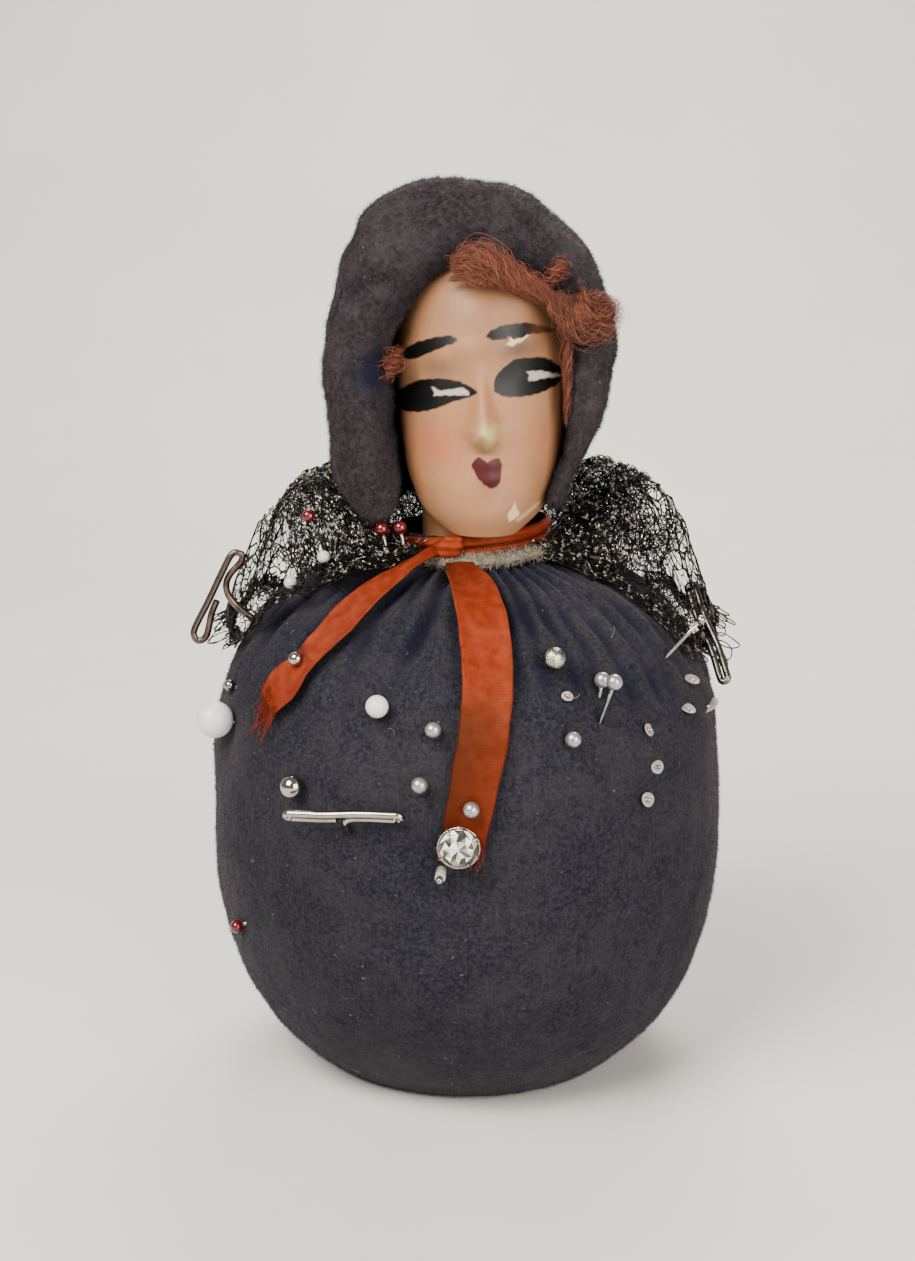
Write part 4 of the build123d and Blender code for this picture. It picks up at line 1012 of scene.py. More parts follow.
@dataclass
class DollHead:
    """The painted head: an egg with low features, its paint, and the neck below it."""

    bottom: float = 68.6
    height: float = 35.4
    half_width: float = 10.4
    half_depth: float = 13.4
    shift: float = 1.8
    rows: int = 262
    columns: int = 356
    levels: tuple[float, ...] = (0.0, 0.055, 0.15, 0.29, 0.46, 0.66, 0.83, 0.94, 1.0)
    widths: tuple[float, ...] = (0.40, 0.64, 0.83, 0.94, 1.0, 1.0, 0.885, 0.615, 0.27)
    depths: tuple[float, ...] = (0.3, 0.52, 0.746, 0.896, 0.985, 1.0, 0.88, 0.627, 0.3)
    backs: tuple[float, ...] = (-0.6, -0.41, -0.224, -0.09, 0.0, 0.015, 0.045, 0.075, 0.09)
    brow_left: Outline = (
        (-7.9, 89.6), (-6.5, 91.0), (-4.5, 91.9), (-2.9, 92.3), (-2.0, 92.4), (-1.3, 92.0), (-1.6, 91.6),
        (-3.9, 90.6), (-5.7, 89.6), (-7.1, 89.1))
    brow_right: Outline = (
        (2.2, 92.6), (3.2, 93.4), (4.7, 93.7), (6.7, 93.8), (8.3, 93.4), (9.9, 92.8), (10.4, 92.5),
        (9.1, 92.5), (7.1, 92.4), (5.9, 92.0), (4.4, 92.1), (3.0, 91.95), (2.3, 92.2))
    brow_chip: Outline = (
        (4.5, 92.4), (4.8, 91.9), (4.3, 91.4), (5.1, 91.25), (6.1, 91.7), (7.1, 92.3), (6.9, 92.5),
        (6.1, 92.05), (5.1, 92.1))
    eye_left: Outline = (
        (-9.2, 84.1), (-7.5, 85.8), (-5.9, 86.8), (-3.9, 87.3), (-2.2, 87.3), (-0.6, 87.0), (0.3, 86.5),
        (1.1, 86.0), (0.4, 85.5), (-0.6, 85.1), (-2.0, 84.6), (-3.5, 83.9), (-5.1, 83.3), (-6.9, 82.9),
        (-8.2, 82.8), (-9.1, 83.2))
    white_left: Outline = (
        (-4.3, 86.15), (-3.8, 86.1), (-3.1, 85.9), (-1.8, 86.2), (-0.6, 86.4), (0.0, 86.0), (0.1, 85.6),
        (-1.2, 85.5), (-2.6, 85.4), (-4.1, 85.2), (-3.9, 85.7))
    eye_right: Outline = (
        (3.0, 86.6), (3.2, 87.8), (4.0, 88.7), (5.3, 89.6), (6.9, 89.8), (8.5, 89.7), (9.7, 89.2),
        (10.8, 88.3), (11.5, 87.3), (11.8, 86.8), (11.0, 86.4), (10.0, 85.9), (8.5, 85.5), (6.9, 85.25),
        (5.2, 85.25), (3.8, 85.5), (3.1, 86.0))
    white_right: Outline = (
        (6.7, 88.2), (8.3, 88.1), (10.0, 87.6), (11.5, 87.1), (11.0, 86.95), (9.5, 87.15), (8.3, 87.1),
        (7.1, 86.95), (7.0, 87.4), (7.2, 87.7))
    mouth: Outline = (
        (0.4, 77.4), (0.8, 78.1), (1.4, 78.3), (2.0, 77.95), (2.3, 77.7), (2.7, 78.05), (3.4, 78.25),
        (3.8, 78.0), (3.95, 77.3), (3.9, 76.3), (3.6, 75.1), (2.9, 74.6), (2.1, 74.9), (1.3, 75.6),
        (0.8, 76.4), (0.6, 77.0))
    chin_chip: Outline = ((4.6, 71.4), (4.9, 70.5), (6.1, 71.2), (5.9, 71.8), (5.4, 72.9), (5.2, 72.2))
    chin_scratch: Outline = ((5.6, 70.6), (8.4, 72.4), (8.6, 72.1), (6.0, 70.3))
    features: tuple = (
        (0.28, 0.9, 80.4, 1.0, 0.65), (0.28, 3.0, 80.4, 1.0, 0.65), (-0.55, -4.0, 85.6, 1.7, 2.0),
        (-0.55, 7.2, 87.6, 1.7, 2.0), (0.35, -4.0, 85.3, 1.5, 1.3), (0.35, 7.2, 87.5, 1.5, 1.4),
        (0.34, 2.3, 77.4, 1.5, 0.85), (0.42, 2.4, 75.7, 1.4, 0.9), (0.35, -4.0, 79.6, 1.0, 3.2),
        (0.35, 8.0, 80.0, 1.0, 3.2), (0.55, 2.4, 71.3, 1.5, 2.1))
    # Painted glints on the black eye paint: a streak on the right eye and the lower part of each eye.
    lid_shine: tuple = ((0.3, 8.6, 89.0, 3.0, 0.75),)
    eye_glints: tuple = ((0.2, -5.0, 83.5, 4.0, 0.45), (0.2, 7.6, 86.0, 3.0, 0.5))
    # Bells of the shadow mark: the first two are brown eye-shadow paint, the rest painted shade under and beside
    # the nose, under the lip and on the left cheek.
    shadows: tuple = (
        (0.72, 5.6, 90.9, 1.9, 1.35), (0.60, -3.6, 88.6, 2.1, 1.5), (0.42, 2.2, 79.2, 1.4, 0.7),
        (0.12, 0.2, 80.5, 0.8, 1.6), (0.16, 2.6, 73.7, 2.2, 0.8), (0.12, -4.0, 80.0, 1.0, 4.0))
    blushes: tuple = ((0.85, -3.4, 79.4, 1.2, 2.3), (0.25, 8.8, 79.6, 1.2, 2.4))
    nose_wear: tuple = ((1.2, 2.3, 81.2, 1.15, 1.3),)

    def surface(self) -> tuple[Array, Array, Array]:
        """The grid of the egg with its features, and the x and z that its paint reads.

        A ring at each height is an ellipse; its angles crowd towards the face, and features add bells and
        ridges to how far the front stands forward.
        """
        level = even(self.rows - 12)
        close = np.sin(np.linspace(0, math.pi / 2, 7))[:-1]
        wide = smooth_curve(level, self.levels, self.widths)
        deep = smooth_curve(level, self.levels, self.depths)
        back = smooth_curve(level, self.levels, self.backs)
        high = self.bottom + level * self.height
        wide = np.concatenate([wide[0] * close, wide, wide[-1] * close[::-1]]) * self.half_width
        deep = np.concatenate([deep[0] * close, deep, deep[-1] * close[::-1]]) * self.half_depth
        back = np.concatenate([np.full(6, back[0]), back, np.full(6, back[-1])]) * self.half_depth
        dip = 0.5 * (1 - np.cos(np.linspace(0, math.pi / 2, 7)[:-1]))[::-1]
        high = np.concatenate([high[0] - dip - 0.02, high, high[-1] + dip[::-1] + 0.02])
        wide, deep = np.maximum(wide, 0.01), np.maximum(deep, 0.01)
        share = np.linspace(-1, 1, self.columns, endpoint=False)
        angle = math.pi * np.sign(share) * np.abs(share) ** 1.35
        x = self.shift + wide[:, None] * np.sin(angle)
        y = back[:, None] - deep[:, None] * np.cos(angle)
        z = np.broadcast_to(high[:, None], x.shape)
        front = ramp(np.cos(angle), 0.0, 0.45)[None]
        return joined(x, y - front * self.relief(x, z), z), x, z

    def relief(self, x: Array, z: Array) -> Array:
        """How far the face stands forward of the egg: the nose's ridge, brows, and bells for the rest."""
        down = np.clip((89.5 - z) / 10.9, 0, 1)
        ridge = along((0.0, 0.3, 0.6, 0.95, 1.35, 1.75, 2.1, 2.15, 1.1, 0.0), down) * (z < 89.5) * (z > 78.6)
        middle = 1.35 + 0.07 * (88 - z)
        broad = along((0.8, 0.8, 0.85, 0.95, 1.1, 1.3, 1.5, 1.55, 1.4, 1.2), down)
        brows = 0.22 * hill(z - 90.8 - 0.12 * x, 1.3) * hill(x - 2.0, 7.5)
        chip = 0.12 * inside(x, z, self.chin_chip, 0.15) + 0.06 * inside(x, z, self.brow_chip, 0.1)
        return ridge * hill(x - middle, broad) + bells(x, z, self.features) + brows - chip

    def paint(self, x: Array, z: Array, front: Array) -> dict[str, Array]:
        """Where each paint lies, from 0 to 1, by soft-edged outlines and bells on the face."""
        wobble = joined(x, 0.0, z)
        x = x + 0.07 * waves(wobble, 1.1, 31)
        z = z + 0.07 * waves(wobble, 1.1, 32)
        edge = 0.09
        chip = inside(x, z, self.brow_chip, edge)
        thin = ramp(x, 6.4, 8.6) * inside_any(x, z, (self.brow_right,), edge) * 0.3
        brows = inside_any(x, z, (self.brow_left, self.brow_right), edge) * (1 - thin) * (1 - chip)
        whites = np.maximum(inside(x, z, self.white_left, edge), inside(x, z, self.white_right, edge))
        chips = np.maximum(chip, inside(x, z, self.chin_chip, 0.12))
        marks = {
            "dark": np.maximum(inside_any(x, z, (self.eye_left, self.eye_right), edge), brows),
            "white": 0.92 * whites,
            # Painted glints on the black eye paint.
            "lid": bells(x, z + 0.25 * (x - 8.6), self.lid_shine) + bells(x, z, self.eye_glints),
            # Eye-shadow paint, and painted shade: the bells under the nose, under the lip and on the left cheek,
            # the forehead towards the hood, and the chin.
            "shadow": bells(x, z, self.shadows) + 0.26 * ramp(z, 88.0, 96.0) + 0.15 * ramp(z, 76.0, 71.0),
            "blush": bells(x, z, self.blushes),
            "worn": bells(x, z, self.nose_wear) * ramp(waves(wobble, 1.5, 33), -1.4, 0.3),
            "chip": np.maximum(chips, 0.5 * inside(x, z, self.chin_scratch, 0.25)),
            "red": inside_any(x, z, (self.mouth,), edge),
        }
        return {name: np.clip(value, 0, 1) * front for name, value in marks.items()}

    def build(self) -> None:
        """Makes the head and neck."""
        grid, x, z = self.surface()
        front = np.broadcast_to(ramp(-grid[..., 1], 0.0, 2.0), x.shape)
        skin = Skin()
        skin.add_grid(grid, caps=True, **self.paint(x, z, front))
        height = np.array([57.0, 57.0, 59.0, 59.0, 62.0, 66.0, 70.0, 75.0])[:, None]
        radius = np.array([5.6, 9.0, 9.0, 5.6, 5.6, 5.6, 5.6, 5.2])[:, None]
        skin.add_grid(at_turn(np.linspace(0, 360, 64, endpoint=False)[None], radius, height), caps=True)
        skin.settle("painted_head", PaintedFace().material(), "painted_composition", "head")


@dataclass
class Hood:
    """The padded velvet hood: a puffed roll round the face and a cap behind it, with pile."""

    inner: tuple = (
        (-8.9, 70.6), (-8.3, 73.2), (-8.2, 77.0), (-8.8, 81.0), (-9.2, 85.2), (-9.3, 89.3), (-8.2, 93.0),
        (-6.0, 96.5), (-2.9, 98.7), (0.8, 99.8), (4.2, 99.8), (7.6, 98.8), (10.2, 96.2), (11.7, 92.2),
        (12.2, 87.2), (12.1, 82.6), (11.5, 78.8), (10.5, 75.2), (9.5, 72.0))
    outer: tuple = (
        (-10.4, 69.4), (-13.2, 70.9), (-15.6, 74.4), (-16.7, 79.6), (-17.1, 85.2), (-16.9, 90.8),
        (-15.7, 95.0), (-14.2, 99.9), (-12.4, 105.8), (-6.5, 109.0), (0.5, 109.7), (7.2, 108.0),
        (12.6, 103.6), (16.2, 97.6), (17.5, 91.2), (16.8, 85.0), (15.0, 80.0), (12.3, 74.8), (10.1, 70.9))
    fronts: tuple = (-10.0, -11.0, -11.6, -11.9, -11.6, -11.0, -11.2, -11.4, -11.5, -11.0, -10.2)
    rears: tuple = (-3.0, 0.0, 2.0, 2.2, 2.0, 2.0, 2.0, 2.0, 1.5, 0.0, -3.0)
    rows: int = 300
    columns: int = 110
    levels: tuple = (0.022, 0.11, 0.234, 0.384, 0.534, 0.683, 0.808, 0.908, 0.973, 0.9975)
    across: tuple = (-0.05, -0.05, -0.03, 0.0, 0.0, 0.0, -0.03, -0.07, -0.085, -0.085)
    widths: tuple = (0.62, 0.81, 0.92, 0.985, 0.99, 0.93, 0.79, 0.57, 0.32, 0.11)
    depths: tuple = (0.62, 0.757, 0.895, 0.987, 1.0, 0.934, 0.789, 0.566, 0.316, 0.118)
    backs: tuple = (0.23, 0.164, 0.1, 0.066, 0.066, 0.066, 0.066, 0.066, 0.033, 0.02)
    cap_width: float = 17.3
    cap_depth: float = 15.2
    cap_shift: float = 17.5
    cap_bottom: float = 69.6
    cap_height: float = 40.1
    blue_patch_centre: tuple[float, float, float] = (-10.6, -10.6, 88.0)
    passed: tuple[PinLine, ...] = ()
    pin_room: float = 0.6
    groove_reach: float = 14.0
    core: Array = field(default_factory=lambda: np.zeros((1, 3)))

    def cleared(self, points: Array) -> Array:
        """Presses a groove for each pin that slides past.

        Points move towards the roll's core line until they keep the pin's room, measured as a round
        channel along the pin's line.
        """
        for line in self.passed:
            off = self.core - line.tip
            aside = off - (off @ line.axis)[..., None] * line.axis
            nearest = int(np.argmin(norm(aside, axis=-1)))
            side = unit(aside[nearest])
            off = points - line.tip
            room = np.sqrt(np.maximum(self.pin_room**2 - (off @ np.cross(line.axis, side)) ** 2, 0))
            short = np.maximum(room - off @ side, 0) * (room > 0)
            close = norm(points - self.core[nearest], axis=-1) < self.groove_reach
            points = points + side * (short * close * (short < 3 * self.pin_room))[..., None]
        return points

    def blue(self, points: Array) -> Array:
        """A patch of deeper blue at the left of the face."""
        return 0.95 * hill(norm(points - np.array(self.blue_patch_centre), axis=-1), 3.0)

    def roll(self) -> tuple[Array, Array, Array]:
        """The roll: ellipses strung between the hood's inner and outer lines, with soft dents."""
        share = even(self.rows)
        lines = (self.inner, self.outer, self.fronts, self.rears)
        inner, outer, front, rear = (along(line, share) for line in lines)
        middle = (inner + outer) / 2
        across = unit(outer - inner)
        half = norm(outer - inner, axis=1) / 2
        tip = np.sqrt(np.clip(np.minimum(share, 1 - share) / 0.02, 0, 1))
        angle = circle(self.columns, math.pi / 2)
        cos, sin = np.cos(angle), np.sin(angle)
        wide = (half * tip)[:, None] * np.sign(cos) * np.abs(cos) ** 0.88
        deep = ((rear - front) / 2 * tip)[:, None] * np.sign(sin) * np.abs(sin) ** 0.92
        x = middle[:, :1] + across[:, :1] * wide
        z = middle[:, 1:] + across[:, 1:] * wide
        grid = joined(x, ((front + rear) / 2)[:, None] + deep, z)
        line = share[:, None] - 0.388 + 0.03 * cos[None]
        outside = ramp(cos, -0.5, 0.6)[None]
        notch = hill(line, 0.013) * outside
        swell = hill(line - 0.032, 0.022) * outside
        hem = ramp(-cos, 0.45, 0.95)[None] * np.abs(np.sin(share[:, None] * 96 + 2 * waves(grid, 9.0, 51)))
        move = 0.45 * waves(grid, 11.0, 52) + 0.16 * waves(grid, 4.0, 53) + 0.07 * waves(grid, 1.8, 54)
        move += 0.5 * swell - 0.55 * notch - 0.22 * hem
        grid = grid - ring_normals(grid) * (move * tip[:, None])[..., None]
        self.core = grid.mean(1)
        grid = self.cleared(grid)
        # Painted shade in the notch and between the hem's ribs, with the patch of deeper blue.
        fold = np.maximum(np.clip(0.3 * notch + 0.2 * hem, 0, 1), self.blue(grid))
        worn = 0.45 * ramp(waves(grid, 7.0, 55), 0.1, 1.2) + 0.5 * ramp(x, 7.0, 13.0) * ramp(z, 95.0, 103.0)
        return grid[:, ::-1], fold[:, ::-1], np.clip(worn, 0, 1)[:, ::-1]

    def cap(self) -> tuple[Array, Array, Array]:
        """The cap: part ellipses behind the seam, stacked upwards, puckered at the neck and closed on top."""
        level = np.concatenate([[0.02, 0.021], np.linspace(0.022, 0.9975, 150)])
        wide = smooth_curve(level, self.levels, self.widths) * self.cap_width
        deep = smooth_curve(level, self.levels, self.depths) * self.cap_depth
        back = smooth_curve(level, self.levels, self.backs) * self.cap_depth
        across = smooth_curve(level, self.levels, self.across) * self.cap_shift
        wide[:1] *= 0.75
        deep[:1] *= 0.75
        turn = np.radians(np.linspace(-112, 112, 190))
        x = across[:, None] - wide[:, None] * np.sin(turn)
        y = back[:, None] + deep[:, None] * np.cos(turn)
        z = (self.cap_bottom + level * self.cap_height)[:, None]
        grid = joined(x, y, z)
        pucker = ramp(z, 80.0, 71.0) * np.abs(np.sin(turn * 8.5))[None]
        seam = np.broadcast_to(hill(turn, 0.02) * 0.35, x.shape)
        move = 0.35 * waves(grid, 12.0, 61) + 0.14 * waves(grid, 4.0, 62) - 0.9 * pucker - seam
        grid = grid + grid_normals(grid) * move[..., None]
        # Painted shade in the puckers at the neck and along the seam; the last grid marks paler patches.
        return grid, np.clip(pucker * 0.8 + seam, 0, 1), np.clip(0.5 * waves(grid, 8.0, 63), 0, 1)

    def build(self) -> None:
        """Makes the roll, the cap and their pile."""
        velvet = HOOD_VELVET.material()
        rng = np.random.default_rng(23)
        for name, made, wrap, count, nodes in (
            ("hood_roll_cover", self.roll(), True, 80000, ("hood_roll",)),
            ("hood_cap_cover", self.cap(), False, 30000, ("hood_crown", "hood_wadding")),
        ):
            grid, fold, worn = made
            skin = Skin()
            skin.add_grid(grid, wrap=wrap, caps=wrap, fold=fold, worn=worn, spot=cloth_of(grid))
            if not wrap:
                ring = np.arange(grid.shape[1] - 1)
                skin.fan(skin.count - grid.shape[1], ring, ring + 1, grid[-1].mean(0))
            skin.settle(name, velvet, "hood_velvet", *nodes)
            points, normals, _ = scatter(grid, count, rng, wrap)
            comb = unit(joined(-points[:, 0] * 0.02, 0.0, -1.0))
            corners, tip = pile_of(points, normals, 0.62, 0.05, comb, rng)
            pile = pile_skin(self.cleared(corners), tip, rng, fold=self.blue(points))
            pile.settle(name.replace("cover", "pile"), velvet, "hood_velvet")


@dataclass(frozen=True)
class Lock:
    """One lock of mohair: the path of its middle, how wide it spreads, and how many strands it has."""

    path: tuple
    spread: tuple
    count: int
    curl: float = 0.5
    turns: float = 3.0


@dataclass
class Mohair:
    """Fine curled strands along the hairline, with a forelock and a tuft over the hood's edge."""

    locks: tuple[tuple[str, tuple[str, ...], tuple[Lock, ...]], ...] = (
        ("mohair_front", ("hair_fringe",), (
            Lock(((-1.9, -12.4, 99.6), (0.0, -12.9, 100.6), (2.2, -13.0, 100.6), (4.6, -12.8, 99.4),
                  (7.2, -12.4, 98.3), (10.0, -11.8, 96.4)), (0.9, 1.7, 1.6, 1.0, 0.8, 0.6), 2600, 0.7, 3.5),
            Lock(((-2.6, -11.4, 98.7), (0.2, -11.9, 99.2), (3.4, -12.0, 98.8), (6.6, -11.8, 97.6),
                  (9.4, -11.2, 95.6)), (0.3, 0.5, 0.6, 0.6, 0.4), 500, 0.6, 3.0),
            Lock(((-9.2, -9.9, 86.6), (-9.2, -10.5, 88.2), (-8.5, -10.7, 89.8), (-7.6, -10.7, 91.0)),
                 (0.5, 0.9, 0.9, 0.4), 55, 0.9, 2.0),
        )),
        ("mohair_side", ("hair_tuft",), (
            Lock(((9.2, -11.7, 97.0), (11.4, -12.2, 95.2), (13.4, -12.4, 94.6), (15.2, -12.1, 95.4),
                  (16.0, -11.6, 97.2)), (0.7, 1.5, 2.1, 2.1, 1.4), 2200, 0.8, 3.0),
            Lock(((8.4, -11.8, 97.6), (9.6, -12.0, 99.0), (10.8, -11.9, 100.4), (11.8, -11.4, 101.2)),
                 (0.5, 0.9, 0.9, 0.6), 60, 0.9, 2.0),
            Lock(((9.4, -11.4, 97.0), (10.7, -11.2, 95.0), (11.3, -10.9, 92.2), (11.6, -10.4, 88.2),
                  (11.6, -10.1, 84.0), (11.4, -9.9, 81.5)), (0.5, 0.6, 0.5, 0.45, 0.35, 0.25), 70, 0.9, 4.0),
        )),
    )
    steps: int = 20

    def strands(self, lock: Lock, rng: Random) -> Array:
        """Paths of a lock's strands: its middle, moved sideways by a share of the spread and round a curl."""
        many = lock.count
        begin = rng.uniform(0, 0.45, (many, 1))
        end = rng.uniform(0.6, 1.0, (many, 1))
        share = begin + (end - begin) * even(self.steps)[None]
        path = along(lock.path, share)
        tangent = unit(np.gradient(path, axis=1))
        side = unit(np.cross(tangent, (0.2, -1.0, 0.3)))
        other = np.cross(tangent, side)
        spread = along(lock.spread, share)[..., None]
        place = rng.normal(0, 0.5, (many, 2, 1, 1))
        place = place + rng.normal(0, 0.12, (many, 2, self.steps, 1)).cumsum(axis=2) * 0.35
        phase = rng.uniform(0, TURN, (many, 1))
        turns = lock.turns * rng.uniform(0.5, 2.4, (many, 1))
        angle = (phase + turns * TURN * share + 1.5 * np.sin(9 * share + phase * 3))[..., None]
        curl = lock.curl * rng.uniform(0.15, 1.0, (many, 1, 1)) * np.clip(spread, 0.3, 1.0)
        return (path + side * (spread * place[:, 0] + curl * np.cos(angle))
                + other * (spread * place[:, 1] * 0.7 + curl * np.sin(angle)))

    def build(self) -> None:
        """Makes each group of locks as one piece."""
        hair = HAIR.material()
        rng = np.random.default_rng(29)
        thin = 0.017 * np.sin(np.linspace(0.25, math.pi - 0.12, self.steps))[None] + 0.009
        for name, nodes, locks in self.locks:
            skin = Skin()
            for lock in locks:
                skin.add_threads(self.strands(lock, rng), thin, 3, strand=rng.random((lock.count, 1)))
            skin.settle(name, hair, "mohair", *nodes)


@dataclass
class LaceCollar:
    """The ruffled metal lace: a fine ground, a net of thicker thread, tinsel and picot loops at its edge."""

    inner_radius: float = 10.35
    standing_radius: float = 31.6
    lying_radius: float = 28.8
    right_inner: float = 46.0
    right_outer: float = 69.0
    left_inner: float = 334.0
    left_outer: float = 282.0
    neck_height: float = 66.7
    drop: float = 12.6
    rise: float = 6.4
    ruffles: int = 9
    ruffle: float = 1.3
    bulge: float = 6.5
    crumple: float = 1.3
    reach_shares: tuple = (0.0, 0.09, 0.18, 0.28, 0.39, 0.54, 0.69, 0.85, 1.0)
    rise_shares: tuple = (0.0, 0.25, 0.47, 0.78, 1.0, 0.86, 0.42, -0.32, -1.0)
    length: float = 118.0
    depth: float = 27.0
    columns: int = 330
    rows: int = 90
    tinsel_threads: int = 2100
    loops: int = 110
    pressed: tuple[PinLine, ...] = ()
    nets: tuple = ((38, 23, 0.03, 0.08), (26, 12, 0.25, 0.11))
    open_zones: tuple = (
        (0.885, 0.72, 0.055, 0.33), (0.94, 0.86, 0.03, 0.16), (0.15, 0.74, 0.05, 0.28),
        (0.09, 0.93, 0.03, 0.12))
    holes: tuple[tuple[float, float, float], ...] = (
        (0.925, 0.66, 0.016), (0.165, 0.58, 0.011), (0.14, 0.72, 0.013), (0.115, 0.86, 0.011),
        (0.955, 0.72, 0.020), (0.985, 0.55, 0.018), (0.03, 0.60, 0.018), (0.06, 0.80, 0.022),
        (0.10, 0.62, 0.018), (0.91, 0.80, 0.020), (0.88, 0.62, 0.016), (0.75, 0.75, 0.020),
        (0.62, 0.60, 0.018), (0.50, 0.78, 0.022), (0.37, 0.66, 0.018), (0.25, 0.80, 0.020))

    def surface(self, u: Array, v: Array) -> Array:
        """Points of the collar: u runs round from the right front to the left front, v out from the neck.

        Each line of constant u starts at the neck and ends at the outer edge. Its height is mixed from one
        that lies on the bag and one that stands up to a crest, with ruffles that grow outwards.
        """
        span = self.left_inner - self.right_inner
        part = np.clip(np.minimum(u, 1 - u) * span / 34.0, 0, 1)
        part = np.where(u < 0.5, np.maximum(part, 0.25), part)
        lift = np.maximum(0.12, part * part * (3 - 2 * part)) * ramp(u, -0.02, 0.06)
        outer_radius = self.lying_radius + lift * (self.standing_radius - self.lying_radius)
        start = at_turn(self.right_inner + u * span, self.inner_radius, 0.0)
        end = at_turn(self.right_outer + u * (self.left_outer - self.right_outer), outer_radius, 0.0)
        plan = start + (end - start) * v[..., None]
        plan[..., 1] -= 4 * (self.bulge * hill(1 - u, 0.12) + 1.7 * hill(u, 0.06)) * v * (1 - v)
        radius = np.hypot(plan[..., 0], plan[..., 1])
        rise = np.interp(v, self.reach_shares, self.rise_shares)
        rise = 0.5 * rise + 0.5 * smooth_curve(v, self.reach_shares, self.rise_shares)
        standing = self.neck_height + np.where(rise > 0, rise * self.rise, rise * self.drop)
        top = BAG.top_height(radius)
        lying = top + (0.35 + 0.65 * ramp(u, 0.0, 0.08)) / np.maximum(BAG.slope(top)[1], 0.5)
        lying = lying + (np.maximum(self.neck_height, lying) - lying) * ramp(v, 0.09, 0.0)
        station = u * self.ruffles * 4
        place = np.interp(v, self.reach_shares, np.arange(len(self.reach_shares)))
        wave = np.sin(TURN * (station / 5.3 + place / 3.7)) + np.sin(TURN * (station / 3.4 - place / 2.9))
        crumple = self.crumple * np.clip(v / 0.42, 0, 1) * (2 + wave) / 4 * ramp(u, -0.03, 0.05)
        ruffle = self.ruffle * np.sin(TURN * station / 4) * v * lift
        height = lying + lift * (standing - lying) + ruffle + crumple
        points = plan + joined(0.0, 0.0, height)
        points[..., 2] += 0.26 * waves(points, 3.2, 71) * ramp(v, 0.0, 0.2)
        points[..., 0] += 0.22 * waves(points, 3.0, 72) * ramp(v, 0.0, 0.2)
        for line in self.pressed:
            off = points - line.at(line.length - 0.8)
            out = off @ line.axis
            aside = norm(off - out[..., None] * line.axis, axis=-1)
            points = points - line.axis * (np.maximum(out + 1.7, 0) * hill(aside, 1.7))[..., None]
        return points

    def opened(self, u: Array, v: Array) -> tuple[Array, Array]:
        """Clears each hole: a point at distance r from its middle moves out to the root of r^2 + size^2."""
        for hole_u, hole_v, share in self.holes:
            across, out = (u - hole_u) * self.length, (v - hole_v) * self.depth
            away = np.maximum(np.hypot(across, out), 1e-6)
            size = share * self.length * 0.75
            grow = np.sqrt(1 + (size / away) ** 2 * hill(away, 2.4 * size))
            u, v = hole_u + across * grow / self.length, hole_v + out * grow / self.depth
        return np.clip(u, 0, 1), np.clip(v, 0, 1.03)

    def dense(self, u: Array, v: Array) -> Array:
        """Where the lace is crushed and thick: near the neck and in clumps."""
        spot = joined(u * self.length, v * self.depth, 0.0)
        dense = 0.25 + ramp(v, 1.0, 0.5) + 0.4 * waves(spot, 9.0, 73)
        for zone_u, zone_v, wide, tall in self.open_zones:
            dense = dense - 1.5 * hill(np.hypot((u - zone_u) / wide, (v - zone_v) / tall), 0.8)
        return np.clip(dense, 0, 1)

    def holed(self, u: Array, v: Array) -> Array:
        """1 inside a big hole and 0 outside."""
        squash = self.depth / self.length
        return np.max([hill(np.hypot(u - hole_u, (v - hole_v) * squash), share * 0.8)
                       for hole_u, hole_v, share in self.holes], axis=0)

    def build(self) -> None:
        """Makes the ground, the net, the tinsel and the loops."""
        rng = np.random.default_rng(37)
        u, v = np.meshgrid(even(self.columns), even(self.rows), indexing="ij")
        skin = Skin()
        skin.add_grid(self.surface(u, v), wrap=False, spot=joined(u * self.length, v * self.depth),
                      dense=self.dense(u, v), hole=self.holed(u, v))
        ground = skin.settle("lace_ground", LaceGround().material(), "metal_lace", "lace_collar")
        pieces = [self.net(), self.tinsel(rng), self.picots(rng)]

    def net(self) -> bpy.types.Object:
        """Rows of thread that swing up and down in turn and meet, which closes fish-scale cells."""
        skin = Skin()
        for layer, (cells, rows, low, radius) in enumerate(self.nets):
            u = even(cells * 7)[None] * np.ones((rows, 1))
            row = np.arange(rows)[:, None]
            swing = np.clip(1.35 * np.sin(u * cells * TURN / 2 + row * math.pi + layer), -1, 1)
            v = low + (row + 0.5 + 0.5 * swing) / rows * (1.0 - low)
            spot = joined(u * self.length, v * self.depth, 9.0 * layer)
            u = u + 0.0045 * waves(spot, 5.0, 81 + layer)
            v = v + 0.022 * waves(spot, 4.0, 83 + layer)
            paths = self.surface(*self.opened(np.clip(u, 0, 1), np.clip(v, 0, 1)))
            paths[..., 2] += 0.12 + 0.18 * layer + 0.12 * waves(paths, 2.0, 85)
            skin.add_threads(paths, radius, 4)
        return skin.settle("lace_net", LACE_THREAD.material(), "metal_lace")

